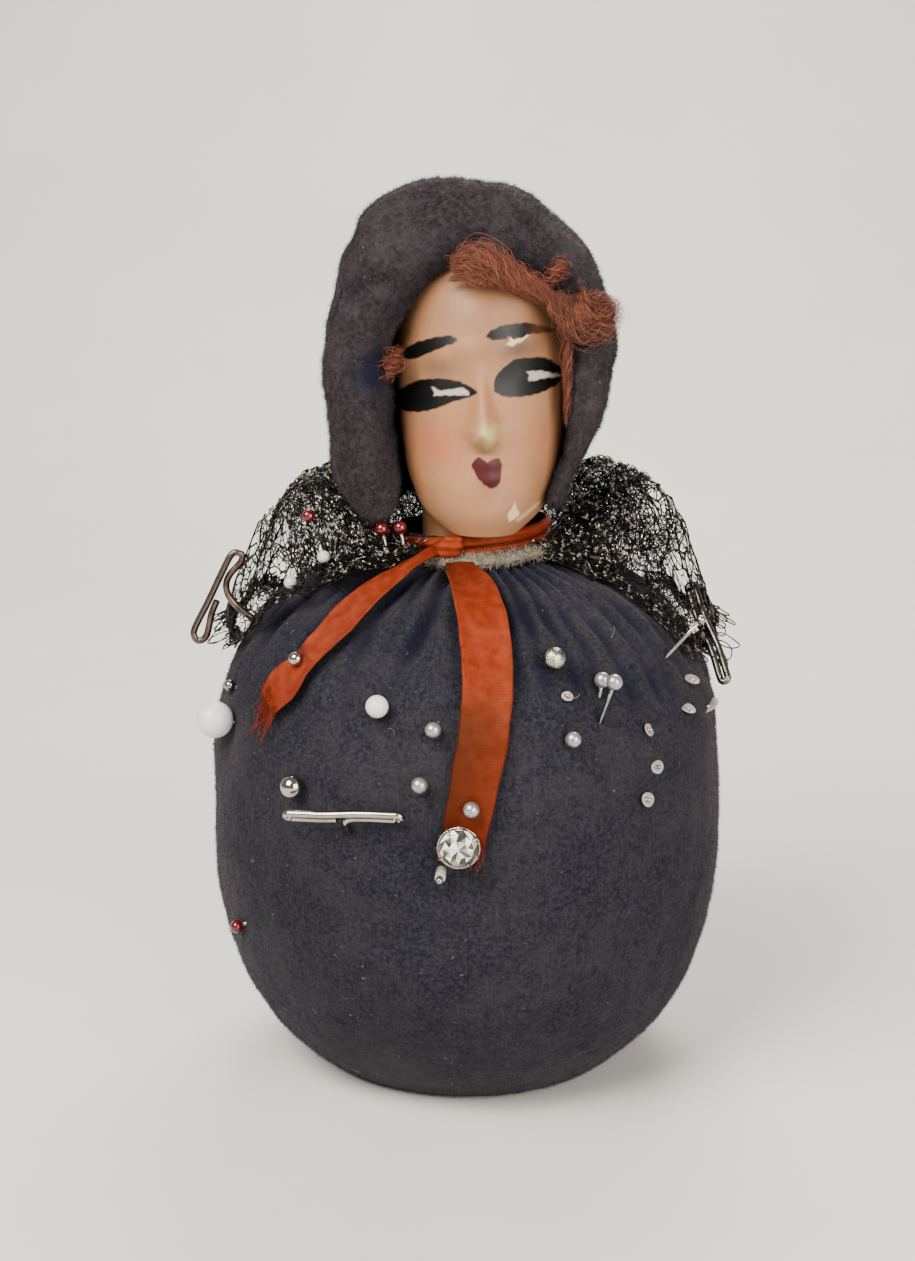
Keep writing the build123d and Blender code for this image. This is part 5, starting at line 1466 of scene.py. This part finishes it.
    def tinsel(self, rng: Random) -> bpy.types.Object:
        """Short crimped threads that crowd the crushed parts."""
        many = self.tinsel_threads
        u = rng.uniform(0.0, 1.0, (many, 1))
        crowded, right = rng.random((many, 1)) < 0.55, rng.random((many, 1)) < 0.5
        u = np.where(crowded, np.where(right, 0.14 * u, 1 - 0.2 * u), u)
        v = rng.beta(1.6, 1.9, (many, 1)) * 0.92 + 0.02
        t = np.linspace(-1, 1, 17)[None]
        heading = rng.uniform(0, TURN, (many, 1))
        size = rng.uniform(0.8, 3.4, (many, 1))
        crimp = 0.4 * np.sin(t * rng.uniform(6, 15, (many, 1)) + rng.uniform(0, TURN, (many, 1)))
        along_u = size * t * np.cos(heading) + crimp * np.sin(heading)
        along_v = size * t * np.sin(heading) - crimp * np.cos(heading)
        u = np.clip(u + along_u / self.length, 0, 1)
        v = np.clip(v + along_v / self.depth, 0, 1)
        kept = (self.dense(u, v).min(1) > 0.3) & (self.holed(u, v).max(1) < 0.3)
        u, v = u[kept], v[kept]
        many = len(u)
        paths = self.surface(u, v)
        heap = 0.9 * ramp(u, 0.9, 0.96) * ramp(v, 0.55, 0.35)
        paths[..., 2] += 0.2 + (0.35 + heap) * rng.random((many, 1))
        paths[..., 2] += 0.3 * np.sin(t * rng.uniform(3, 9, (many, 1)))
        skin = Skin()
        skin.add_threads(paths, rng.uniform(0.045, 0.095, (many, 1)), 3)
        return skin.settle("lace_tinsel", LACE_BRIGHT.material(), "metal_lace")

    def picots(self, rng: Random) -> bpy.types.Object:
        """Loops of dark wire round the outer edge, some big and some small, and a cord that carries them."""
        many = self.loops
        place = (np.arange(many) + rng.uniform(-0.25, 0.25, many)) / many
        place = np.clip(place, 0.004, 0.996)[:, None]
        size = rng.uniform(0.6, 1.8, (many, 1))
        angle = circle(22)[None]
        u = np.clip(place + size * 0.62 * np.sin(angle) / self.length, 0, 1)
        out = size * (0.75 - np.cos(angle))
        edge = self.surface(u, np.full_like(u, 0.985))
        before = self.surface(u, np.full_like(u, 0.94))
        radial = unit(edge * np.array([1.0, 1.0, 0.0])) * rng.uniform(0.2, 1.6, (many, 1, 1))
        heading = unit(unit(edge - before) + radial + rng.normal(0, 0.2, (many, 1, 3)))
        sway = 0.25 * np.sin(angle + rng.uniform(0, TURN, (many, 1)))[..., None] * (0.3, 0.3, 0.6)
        skin = Skin()
        skin.add_threads(edge + heading * out[..., None] + sway, 0.085, 4, loop=True)
        u = even(420)[None] * np.ones((3, 1))
        v = 0.965 + 0.02 * np.sin(u * 500 + np.array([[0.0], [2.1], [4.2]]))
        skin.add_threads(self.surface(u, v), 0.13, 4)
        for end in (0.002, 0.998):
            v = even(90)[None] + np.array([[0.0], [0.004]])
            skin.add_threads(self.surface(np.full_like(v, end), v), 0.13, 4)
        return skin.settle("lace_picots", LACE_DARK.material(), "metal_lace")


@dataclass
class Ribbon:
    """The satin ribbon: two folds round the neck, a small knot and two cut ends with frayed threads.

    A station of an end is a turn, a height, the ribbon's width there and its lift off the bag.
    """

    thickness: float = 0.3
    rows: int = 170
    columns: int = 26
    threads: int = 110
    front: tuple = (
        (-4.5, 64.5, 3.3, 0.9), (1.6, 62.7, 5.2, 1.3), (4.2, 59.5, 5.8, 1.1), (4.4, 54.9, 5.8, 0.9),
        (2.9, 49.1, 5.7, 1.0), (0.6, 42.6, 5.4, 0.8), (-1.3, 37.0, 5.0, 0.6))
    side: tuple = (
        (-19.5, 65.3, 2.0, 1.2), (-26.0, 63.9, 2.5, 1.7), (-32.0, 62.2, 3.6, 1.5), (-37.0, 59.6, 5.1, 1.1),
        (-40.8, 56.6, 4.0, 0.9), (-43.0, 54.9, 3.7, 0.8), (-46.2, 52.6, 5.2, 0.9), (-50.3, 49.9, 4.2, 0.7))
    band_radius: float = 9.75
    band_half: float = 1.35
    band_height: float = 66.9
    band_tilt: float = 4.6
    knot_turn: float = -13.0
    knot_radius: float = 10.9
    knot_height: float = 67.05

    def strip(self, stations: tuple, ridge: Array) -> tuple[Array, Array, Array]:
        """A thin closed strip that follows stations of turn, height, width and lift on the bag.

        Its section goes across the top and back along the underside. The lift adds a ridge that falls to
        the edges, small cross waves and slightly curled edges.
        """
        share = even(self.rows)
        turn, height, width, lift = along(stations, share).T
        centre = BAG.point(turn, height, 0.0)
        normal = at_turn(turn, *BAG.slope(height))
        across = unit(np.cross(unit(np.gradient(centre, axis=0)), normal))
        side = np.linspace(-1, 1, self.columns)
        level = np.repeat([1.0, -1.0], self.columns)
        q = np.broadcast_to(np.concatenate([side, side[::-1]]), (self.rows, level.size))
        long = (share * walked(centre)[-1])[:, None]
        spot = joined(q * 3.0, long, 0.0)
        high = lift[:, None] + ridge[:, None] * (1 - np.abs(q)) + 0.28 * q**4
        high = high + 0.16 * waves(spot, 7.0, 91) + 0.05 * waves(spot, 2.5, 92)
        high = high + level * self.thickness / 2 * np.sqrt(np.clip(1 - q**8, 0, 1))
        aside = q * width[:, None] / 2 * (1 + 0.03 * waves(spot, 5.0, 93))
        points = centre[:, None] + across[:, None] * aside[..., None] + normal[:, None] * high[..., None]
        return points[:, ::-1], joined(q * 3.0 + 3.0, long)[:, ::-1], q[:, ::-1]

    def fray(self, skin: Skin, grid: Array, reach: float, rng: Random) -> None:
        """Loose threads that leave the cut end and droop along the velvet."""
        many = self.threads
        last = grid[-1]
        heading = unit(unit(last.mean(0) - grid[-6].mean(0)) + np.array([0.0, 0.0, -0.9]))
        pick = rng.integers(0, len(last), many)
        t = even(12)[None, :, None]
        length = rng.uniform(0.15, 1.0, (many, 1, 1)) ** 1.6 * reach
        stray = rng.normal(0, 0.13, (many, 1, 3)) * length
        start = last[pick][:, None] - heading * rng.uniform(0.2, 1.6, (many, 1, 1))
        path = start + heading * length * t + stray * t**2
        path = path + 0.12 * np.sin(t * 7 + rng.uniform(0, 6, (many, 1, 3)))
        radius = np.hypot(path[..., 0], path[..., 1])
        surface = BAG.reach(path[..., 2]) + 0.4
        path[..., :2] *= np.maximum(1, surface / np.maximum(radius, 1e-6))[..., None]
        skin.add_threads(path, 0.028, 3)

    def build(self) -> None:
        """Makes the band, the knot and both ends."""
        satin = Satin().material()
        rng = np.random.default_rng(43)
        share = even(self.rows)
        front_ridge = 0.25 * hill(share, 0.2)
        side_ridge = 1.1 * hill(share, 0.25) + 0.6 * hill(share - 0.66, 0.06)
        front_shade = 0.82 * ramp(share, 0.5, 0.66)
        side_shade = 0.45 * hill(share - 0.66, 0.035)
        for name, node, stations, ridge, reach, low in (
            ("ribbon_front_end", "ribbon_front_tail", self.front, front_ridge, 3.4, front_shade),
            ("ribbon_side_end", "ribbon_side_tail", self.side, side_ridge, 5.0, side_shade),
        ):
            grid, cloth, q = self.strip(stations, ridge)
            top = 0.75 * hill(share[:, None], 0.17) * (0.55 + 0.45 * ramp(q, -0.2, 0.9))
            skin = Skin()
            shade = np.clip(top + low[:, None] * (0.75 + 0.25 * q), 0, 1)
            skin.add_grid(grid, caps=True, spot=cloth, shade=shade)
            self.fray(skin, grid, reach, rng)
            skin.settle(name, satin, "satin", node)
        self.band(satin)
        self.knot(satin)

    def band(self, satin: Material) -> None:
        """Two folds round the neck: a closed section with two swells, turned about the axis and tilted."""
        turn = np.linspace(0, 360, 260, endpoint=False)
        half = self.band_half
        front, back = np.linspace(half, -half, 25), np.linspace(-half, half, 11)
        z = np.concatenate([front, back])
        folds = 0.55 * np.abs(np.sin(math.pi * (front + half) / half)) ** 0.6
        swell = np.concatenate([folds, np.full(len(back), -0.3)])
        pleat = 0.10 * np.sin(z[None] * 5 + 4.0 * np.sin(np.radians(turn))[:, None])
        radius = self.band_radius + swell[None] + pleat * (swell > 0)
        wide = 1 + 0.10 * np.sin(np.radians(turn + 40))[:, None]
        grid = at_turn(turn[:, None], radius, self.band_height + z[None] * wide)
        grid[..., 2] += math.tan(math.radians(self.band_tilt)) * grid[..., 0]
        closed = np.concatenate([grid, grid[:1]], axis=0)
        cloth = joined(z[None] + 3, np.radians(np.append(turn, 360.0))[:, None] * 10)
        skin = Skin()
        skin.add_grid(closed, spot=cloth, shade=np.broadcast_to(0.9 * hill(z, 0.16)[None], closed.shape[:2]))
        skin.settle("ribbon_neck_folds", satin, "satin", "ribbon_band")

    def knot(self, satin: Material) -> None:
        """The knot: a pinched ball of ribbon with pleats that run across it."""
        up, angle = np.meshgrid(np.linspace(-math.pi / 2, math.pi / 2, 40), circle(64), indexing="ij")
        x = 1.9 * np.cos(up) ** 0.7 * np.cos(angle)
        y = 0.95 * np.cos(up) ** 0.7 * np.sin(angle)
        z = 1.45 * np.sin(up)
        pleat = 1 + 0.07 * np.sin(9 * np.sin(up) + 3 * np.cos(angle))
        lean = math.radians(self.knot_turn)
        cos, sin = math.cos(lean), math.sin(lean)
        grid = joined(x * cos - y * sin, x * sin + y * cos, z + 0.25 * x) * pleat[..., None]
        grid = grid + at_turn(self.knot_turn, self.knot_radius, self.knot_height)
        skin = Skin()
        skin.add_grid(grid, spot=joined(angle, up * 3), shade=0.4 * hill(x + 1.6, 0.4))
        skin.settle("ribbon_knot_wrap", satin, "satin", "ribbon_knot")


@dataclass
class NeckTape:
    """Cream tape, worn to fuzz, that shows below the ribbon."""

    radius: float = 10.75
    height: float = 65.5
    fibres: int = 9000

    def build(self) -> None:
        """A flattened ring with curled fibres all over it."""
        turn = np.linspace(0, 360, 240)
        angle = circle(20)
        radius = self.radius + 0.95 * np.cos(angle)[None] + 0.12 * np.sin(np.radians(turn) * 17)[:, None]
        height = self.height + 0.42 * np.sin(angle)[None] - 0.25 * np.cos(angle)[None]
        height = height + 0.5 * ramp(np.sin(np.radians(turn)), 0.0, 0.9)[:, None]
        grid = at_turn(turn[:, None], radius, height)[:, ::-1]
        skin = Skin()
        skin.add_grid(grid)
        rng = np.random.default_rng(47)
        many = self.fibres
        points, normals, _ = scatter(grid, many, rng, True)
        t = even(7)[None, :, None]
        lean = unit(normals + rng.normal(0, 0.7, normals.shape))[:, None]
        swirl = 0.22 * np.sin(t * rng.uniform(3, 8, (many, 1, 1)) + rng.uniform(0, 6, (many, 1, 3)))
        paths = points[:, None] + lean * t * rng.uniform(0.2, 0.8, (many, 1, 1)) + swirl * t
        skin.add_threads(paths, 0.02, 3, strand=rng.random((many, 1)))
        skin.settle("neck_tape_fuzz", TAPE.material(), "cotton_tape", "neck_tape")


@dataclass
class Pins:
    """All the pins: shafts, beads, bent wires, the rhinestone, the tube and the sequins."""

    heads: dict[str, tuple[Head, float]] = field(default_factory=lambda: {
        **{f"pearl_pin_{letter}": (Head.PEARL, 0.93) for letter in "abcdef"},
        "white_pin_large": (Head.MILK, 2.25), "white_pin_small": (Head.IVORY, 1.3),
        "steel_pin_left": (Head.MIRROR, 1.38), "steel_pin_right": (Head.CRINKLED, 1.38),
        "steel_pin_side": (Head.MIRROR, 0.7), "steel_pin_ribbon": (Head.MIRROR, 0.85),
        **{f"red_pin_{name}": (Head.RED, 0.8) for name in ("low", "a", "b", "c")},
        "clear_pin_a": (Head.CLEAR, 0.8), "clear_pin_b": (Head.CLEAR, 0.8), "plain_pin": (Head.FLAT, 0.55),
        **{f"wire_pin_{side}": (Head.WIRE, 0.42) for side in ("front", "left", "right")},
        "rhinestone_pin": (Head.STONE, 2.25), "tube_bead_pin": (Head.TUBE, 0.6),
        **{f"sequin_pin_{letter}": (Head.SEQUIN, 1.0) for letter in "bcdef"},
        "sequin_pin_a": (Head.SEQUIN, 0.75), "sequin_pin_g": (Head.SEQUIN, 1.6),
    })
    shaft_radius: float = 0.28
    thin_radius: float = 0.26
    wire_radius: float = 0.42
    left_wire: tuple = (
        (-27.0, 57.3), (-28.4, 58.5), (-29.4, 59.9), (-29.6, 61.3), (-29.1, 62.5), (-28.1, 63.6),
        (-27.6, 64.3), (-27.6, 65.0), (-28.3, 65.3), (-29.0, 64.8), (-29.9, 63.1), (-31.8, 59.2),
        (-33.5, 55.9), (-33.6, 54.8), (-33.0, 54.3), (-32.2, 54.8), (-31.8, 55.9), (-31.4, 57.7),
        (-30.7, 59.4))
    facing: dict[str, tuple[float, float, float]] = field(default_factory=lambda: {
        "b": (0.78, -0.5, 0.36), "d": (0.62, -0.75, 0.2), "e": (0.3, -0.3, 0.9), "f": (0.3, -0.3, 0.9),
        "g": (-0.4, -0.22, 0.89)})
    finishes: tuple[Bead | Metal, ...] = (
        Bead("pearl_grey", (0.36, 0.36, 0.355), (0.20, 0.20, 0.20), 0.26, metal=0.75, coat=0.5),
        Bead("milk_white", (0.60, 0.60, 0.605), (0.54, 0.53, 0.53), 0.36),
        Bead("ivory_white", (0.62, 0.60, 0.55), (0.55, 0.525, 0.47), 0.4, coat=0.3),
        BRIGHT_STEEL, CRINKLED_STEEL, PIN_STEEL,
        Bead("red_glass", (0.12, 0.002, 0.003), (0.05, 0.001, 0.0015), 0.1, clear=0.3),
        Bead("clear_glass", (0.80, 0.80, 0.78), (0.62, 0.62, 0.60), 0.06, clear=0.45, coat=0.8),
        Bead("sequin", (0.42, 0.385, 0.33), (0.26, 0.235, 0.195), 0.22, clear=0.3, coat=0.6),
        Bead("tube_glass", (0.86, 0.85, 0.80), (0.60, 0.58, 0.52), 0.1, clear=0.7, coat=0.6),
    )
    slots: dict[Head, str] = field(default_factory=lambda: {
        Head.PEARL: "pearl_grey", Head.MILK: "pearl_white", Head.IVORY: "pearl_white", Head.RED: "red_glass",
        Head.CLEAR: "clear_glass", Head.FLAT: "pin_steel"})
    made: dict[str, Material] = field(default_factory=dict)

    def finish_of(self, head: Head) -> Material:
        """The head's material, made once."""
        if head.value not in self.made:
            finish = next(f for f in self.finishes if f.name == head.value)
            self.made[head.value] = finish.material()
        return self.made[head.value]

    def add_shaft(self, skin: Skin, line: PinLine, top: float, radius: float) -> None:
        """A round shaft whose point tapers over its first part."""
        reach = np.array([0.0, 0.15, 0.6, 1.1, 1.6, 3.0, *np.linspace(4.0, top, 8)])
        size = 0.8 * radius * np.array([0.12, 0.28, 0.6, 0.85, 1.0, *np.ones(9)])
        skin.add_grid(line.turned(reach, size, 14), caps=True)

    def add_ball(self, skin: Skin, line: PinLine, centre: float, radius: float, squash: float = 1.0) -> None:
        """A ball on the line: rings from its lower pole to its upper one."""
        up = np.linspace(-math.pi / 2 + 0.02, math.pi / 2 - 0.02, 26)
        skin.add_grid(line.turned(centre + radius * squash * np.sin(up), radius * np.cos(up), 40), caps=True)

    def simple(self, line: PinLine, head: Head, radius: float) -> None:
        """A straight shaft with one round head."""
        centre = line.length - radius * (0.96 if radius > 1.2 else 0.9)
        ball, shaft = Skin(), Skin()
        self.add_ball(ball, line, centre, radius)
        self.add_shaft(shaft, line, centre - radius * 0.5, self.shaft_radius)
        apart = [n for n in line.nodes if n.endswith("_head")]
        rest = [n for n in line.nodes if n not in apart]
        slot = self.slots.get(head, "bright_steel")
        steel = self.finish_of(Head.FLAT)
        ball.settle(line.body + "_ball", self.finish_of(head), slot, *(apart or rest), body=line.body)
        shaft.settle(line.body + "_wire", steel, "pin_steel", *(rest if apart else ()), body=line.body)

    def bent_path(self, line: PinLine) -> Array:
        """An upholstery pin's path: up the shaft, along the bar, round its end, back and round again."""
        points = np.concatenate([PinLine.corners(node) for node in line.nodes])
        reach = (points - line.tip) @ line.axis
        top = points[reach > line.length - 1.6]
        spread = top - top.mean(0)
        spread = spread - (spread @ line.axis)[:, None] * line.axis
        bar = np.linalg.svd(spread, full_matrices=False)[2][0]
        bar = bar * (1 if bar[0] > 0 else -1)
        high = line.length - self.wire_radius
        low, half, bow = high - 0.95, 6.2, 0.475
        middle = (low + high) / 2
        turn = np.linspace(0, math.pi, 9)
        rise = np.linspace(0, math.pi / 2, 6)
        across = np.concatenate([
            np.zeros(3), 1.1 * (1 - np.cos(rise)), np.linspace(1.6, half, 10), half + bow * np.sin(turn),
            np.linspace(half, -half, 22), -half - bow * np.sin(turn), np.linspace(-half, -0.9, 10)])
        out = np.concatenate([
            np.array([0.0, 2.0, low - 3.0]), low - 1.1 * (1 - np.sin(rise)), np.full(10, low),
            middle - bow * np.cos(turn), np.full(22, high), middle + bow * np.cos(turn), np.full(10, low)])
        sag = 0.12 * np.sin(across * 0.7)
        return line.tip + (out + sag * (out > low - 0.5))[:, None] * line.axis + across[:, None] * bar

    def left_path(self, line: PinLine) -> Array:
        """The bent brown pin's path: from its point out through the lace, then its hand-bent loops."""
        x, z = np.asarray(self.left_wire).T
        entry = line.entry()
        start = np.stack([line.tip, line.at(2.0), line.at(8.0), line.at(14.0), entry - line.axis * 0.6])
        free = joined(x, np.linspace(entry[1] - 0.4, entry[1] - 1.6, len(x)), z)
        return along(np.concatenate([start, free]), even(150))

    def wire(self, line: PinLine) -> None:
        """A bent wire as one smooth round thread with a pointed end."""
        left = line.body == "wire_pin_left"
        path = self.left_path(line) if left else self.bent_path(line)
        size = self.wire_radius * np.clip(0.15 + walked(path) / 1.8, 0, 1)
        skin = Skin()
        skin.add_threads(path[None], size[None], 14, lean=(0.05, 1.0, 0.1) if left else (0.21, 0.4, -0.88))
        finish = {"wire_pin_left": BROWN_WIRE, "wire_pin_right": DARK_WIRE}.get(line.body, BRIGHT_STEEL)
        slot = "brown_wire" if left else "pin_steel"
        skin.settle(line.body + "_bent", finish.material(), slot, *line.nodes, body=line.body)

    def stone(self, line: PinLine) -> None:
        """The rhinestone: a faceted stone over a foil cone, in a cup with claws, on its shaft."""
        top = line.length
        level, other = line.sides()

        def ring(depth: float, radius: float, sides: int, shift: float) -> Array:
            """A ring of corners square to the pin, at a depth below its top."""
            angle = TURN * (np.arange(sides) + shift) / sides
            return line.at(top - depth) + radius * spokes(angle, level, other)

        stone, foil, cup = Skin(), Skin(), Skin()
        rng = np.random.default_rng(5)
        levels = [ring(1.05, 2.2, 12, 0.0), ring(0.85, 2.2, 12, 0.5), ring(0.4, 1.75, 12, 0.0),
                  ring(0.12, 1.05, 12, 0.5), np.broadcast_to(line.at(top - 0.05), (12, 3))]
        for low, high in zip(levels, levels[1:]):
            after_low, after_high = np.roll(low, -1, axis=0), np.roll(high, -1, axis=0)
            for group in (np.stack([low, after_low, high], 1), np.stack([after_low, after_high, high], 1)):
                glint = np.repeat(rng.random(12) ** 2.2, 3)
                stone.add(group, three=np.arange(36).reshape(12, 3), strand=glint)
        stone.settle("rhinestone_cut", CUT_STONE.material(), "clear_glass", "rhinestone",
                     body=line.body, smooth=False)
        foil.add_grid(np.stack([ring(1.95, 0.5, 12, 0.5), ring(1.12, 2.12, 12, 0.0)]))
        foil.add_grid(np.stack([ring(1.5, 0.15, 8, 0.0), ring(1.3, 1.3, 8, 0.5), ring(1.14, 2.1, 8, 0.0)]))
        foil.settle("rhinestone_foil", FOIL.material(), "pin_steel", body=line.body, smooth=False)
        reach = top - np.array([2.3, 2.2, 1.5, 1.05, 1.05, 1.45])
        cup.add_grid(line.turned(reach, np.array([0.3, 0.9, 2.2, 2.45, 2.28, 2.05]), 48))
        for claw in range(4):
            turn = TURN * (claw + 0.35) / 4
            out = math.cos(turn) * level + math.sin(turn) * other
            path = np.stack([line.at(top - 1.5) + out * 2.42, line.at(top - 1.0) + out * 2.42,
                             line.at(top - 0.72) + out * 2.2, line.at(top - 0.55) + out * 1.9])
            cup.add_threads(along(path, even(12)), 0.2, 8)
        self.add_shaft(cup, line, top - 2.2, self.shaft_radius)
        cup.settle("rhinestone_cup", CRINKLED_STEEL.material(), "pin_steel", "rhinestone_pin", body=line.body)

    def tube(self, line: PinLine) -> None:
        """A short clear tube on its pin."""
        reach = line.length - 0.8 - np.array([1.9, 1.85, 0.06, 0.0, 0.0, 1.9, 1.9])
        skin = Skin()
        skin.add_grid(line.turned(reach, np.array([0.5, 0.6, 0.6, 0.52, 0.34, 0.34, 0.5]), 28))
        glass = self.finish_of(Head.TUBE)
        skin.settle(line.body + "_glass", glass, "clear_glass", *line.nodes, body=line.body)
        self.headed_pin(line, self.shaft_radius, 0.38, 0.42, 1.0)

    def headed_pin(self, line: PinLine, radius: float, depth: float, head: float, squash: float) -> None:
        """A plain pin whose small head holds what it pierces."""
        shaft = Skin()
        self.add_shaft(shaft, line, line.length - 0.6, radius)
        self.add_ball(shaft, line, line.length - depth, head, squash)
        shaft.settle(line.body + "_wire", self.finish_of(Head.FLAT), "pin_steel", body=line.body)

    def sequin(self, line: PinLine, radius: float) -> None:
        """A cupped clear sequin with a ragged rim, held by a small headed pin."""
        rng = np.random.default_rng(sum(map(ord, line.body)))
        face = unit(np.array(self.facing.get(line.body[-1], tuple(line.axis)), float))
        level = unit(np.cross((0.1, 0.2, 1.0), face))
        angle = circle(36)
        ring = spokes(angle, level, np.cross(face, level) * rng.uniform(0.75, 0.95))
        ragged = 1 + 0.03 * np.sin(angle * 3 + rng.uniform(0, 6))
        share = np.array([0.3, 0.6, 0.95, 1.0, 0.95, 0.6, 0.3, 0.3])
        lift = np.array([-0.05, 0.0, 0.18, 0.22, 0.28, 0.12, 0.07, -0.05])
        tilt = 0.22 * np.cos(angle + rng.uniform(0, 6))
        high = 0.6 * lift[:, None] + 0.3 * tilt[None] * share[:, None] * radius
        skin = Skin()
        skin.add_grid(line.at(line.length - 0.95) + (radius * share)[:, None, None] * ring * ragged[:, None]
                      + high[..., None] * face)
        skin.settle(line.body + "_disc", self.finish_of(Head.SEQUIN), "sequin", *line.nodes, body=line.body)
        self.headed_pin(line, self.thin_radius, 0.5, 0.24, 0.8)

    def build(self, lines: dict[str, PinLine]) -> None:
        """Makes every pin by its kind of head."""
        for name, (head, radius) in self.heads.items():
            line = lines[name]
            match head:
                case Head.WIRE:
                    self.wire(line)
                case Head.STONE:
                    self.stone(line)
                case Head.TUBE:
                    self.tube(line)
                case Head.SEQUIN:
                    self.sequin(line, radius)
                case _:
                    self.simple(line, head, radius)


@dataclass
class Studio:
    """Pale floor that sweeps up behind, soft light and the photograph's viewpoint."""

    target: tuple[float, float, float] = (-1.25, 0.0, 54.5)
    distance: float = 280.0
    elevation: float = 13.0
    focal_pixels: float = 2240.0
    image_height: float = 1261.0
    sensor: float = 24.0

    def floor(self) -> None:
        """A sheet that is level in front and curves up into a wall behind."""
        x = np.linspace(-900, 900, 40)
        bend = np.linspace(0, math.pi / 2, 24)
        y = np.concatenate([np.linspace(-700, 260, 30), 260 + 200 * np.sin(bend[1:]), np.full(12, 460.0)])
        z = np.concatenate([np.zeros(30), 200 * (1 - np.cos(bend[1:])), np.linspace(230, 900, 12)])
        grid = joined(x[None], y[:, None], z[:, None])
        skin = Skin()
        skin.add_grid(grid - np.array([0.0, 0.0, 0.02]), wrap=False)
        skin.build("pale_floor", PALE_FLOOR.material())

    def aimed(self, name: str, data: bpy.types.ID, place: Vector) -> bpy.types.Object:
        """A light or camera at a place in mm, turned to the target."""
        made = bpy.data.objects.new(name, data)
        made.location = place * MM
        made.rotation_euler = (Vector(self.target) - place).to_track_quat("-Z", "Y").to_euler()
        bpy.context.scene.collection.objects.link(made)
        return made

    def light(self, name: str, place: Sequence[float], size: float, power: float, colour: Colour) -> None:
        """A square soft light that faces the target."""
        lamp = bpy.data.lights.new(name, "AREA")
        lamp.size = size * MM
        lamp.energy = power
        lamp.color = colour
        self.aimed(name, lamp, Vector(place))

    def camera(self) -> None:
        """The camera at the photograph's angle and distance."""
        lens = bpy.data.cameras.new("view")
        lens.sensor_fit = "VERTICAL"
        lens.sensor_height = self.sensor
        lens.lens = self.focal_pixels / self.image_height * self.sensor
        lens.clip_start = 0.01
        lean = math.radians(self.elevation)
        back = Vector((0.0, -math.cos(lean), math.sin(lean)))
        place = Vector(self.target) + back * self.distance
        bpy.context.scene.camera = self.aimed("view", lens, place)

    def build(self) -> None:
        """Makes the floor, the lights, the sky and the camera."""
        self.camera()
        self.floor()
        self.light("key", (-240, -280, 400), 320, 6.6, (1.0, 0.965, 0.91))
        self.light("fill", (260, -330, 170), 300, 2.9, (1.0, 0.95, 0.89))
        self.light("back", (60, 330, 380), 260, 3.2, (1.0, 0.97, 0.93))
        world = bpy.data.worlds.new("soft_sky")
        world.use_nodes = True
        sky = world.node_tree.nodes["Background"]
        sky.inputs[0].default_value = (0.72, 0.70, 0.67, 1.0)
        sky.inputs[1].default_value = 0.42
        bpy.context.scene.world = world


def main() -> None:
    """Builds every sub-assembly in order."""
    logging.basicConfig(level=logging.INFO, format="%(name)s: %(message)s")
    Studio().build()
    pins = Pins()
    lines = {name: PinLine.read(name) for name in pins.heads}
    VelvetBag().build(list(lines.values()))
    DollHead().build()
    Hood(passed=(lines["red_pin_b"], lines["red_pin_c"])).build()
    Mohair().build()
    LaceCollar(pressed=(lines["clear_pin_a"], lines["clear_pin_b"], lines["red_pin_a"])).build()
    Ribbon().build()
    NeckTape().build()
    pins.build(lines)
    for node, finish in (("base_card", CARD), ("neck_peg", PEG_WOOD), ("gathering_thread", DARK_THREAD)):
        dress(node, finish.material())


if __name__ == "__main__":
    main()
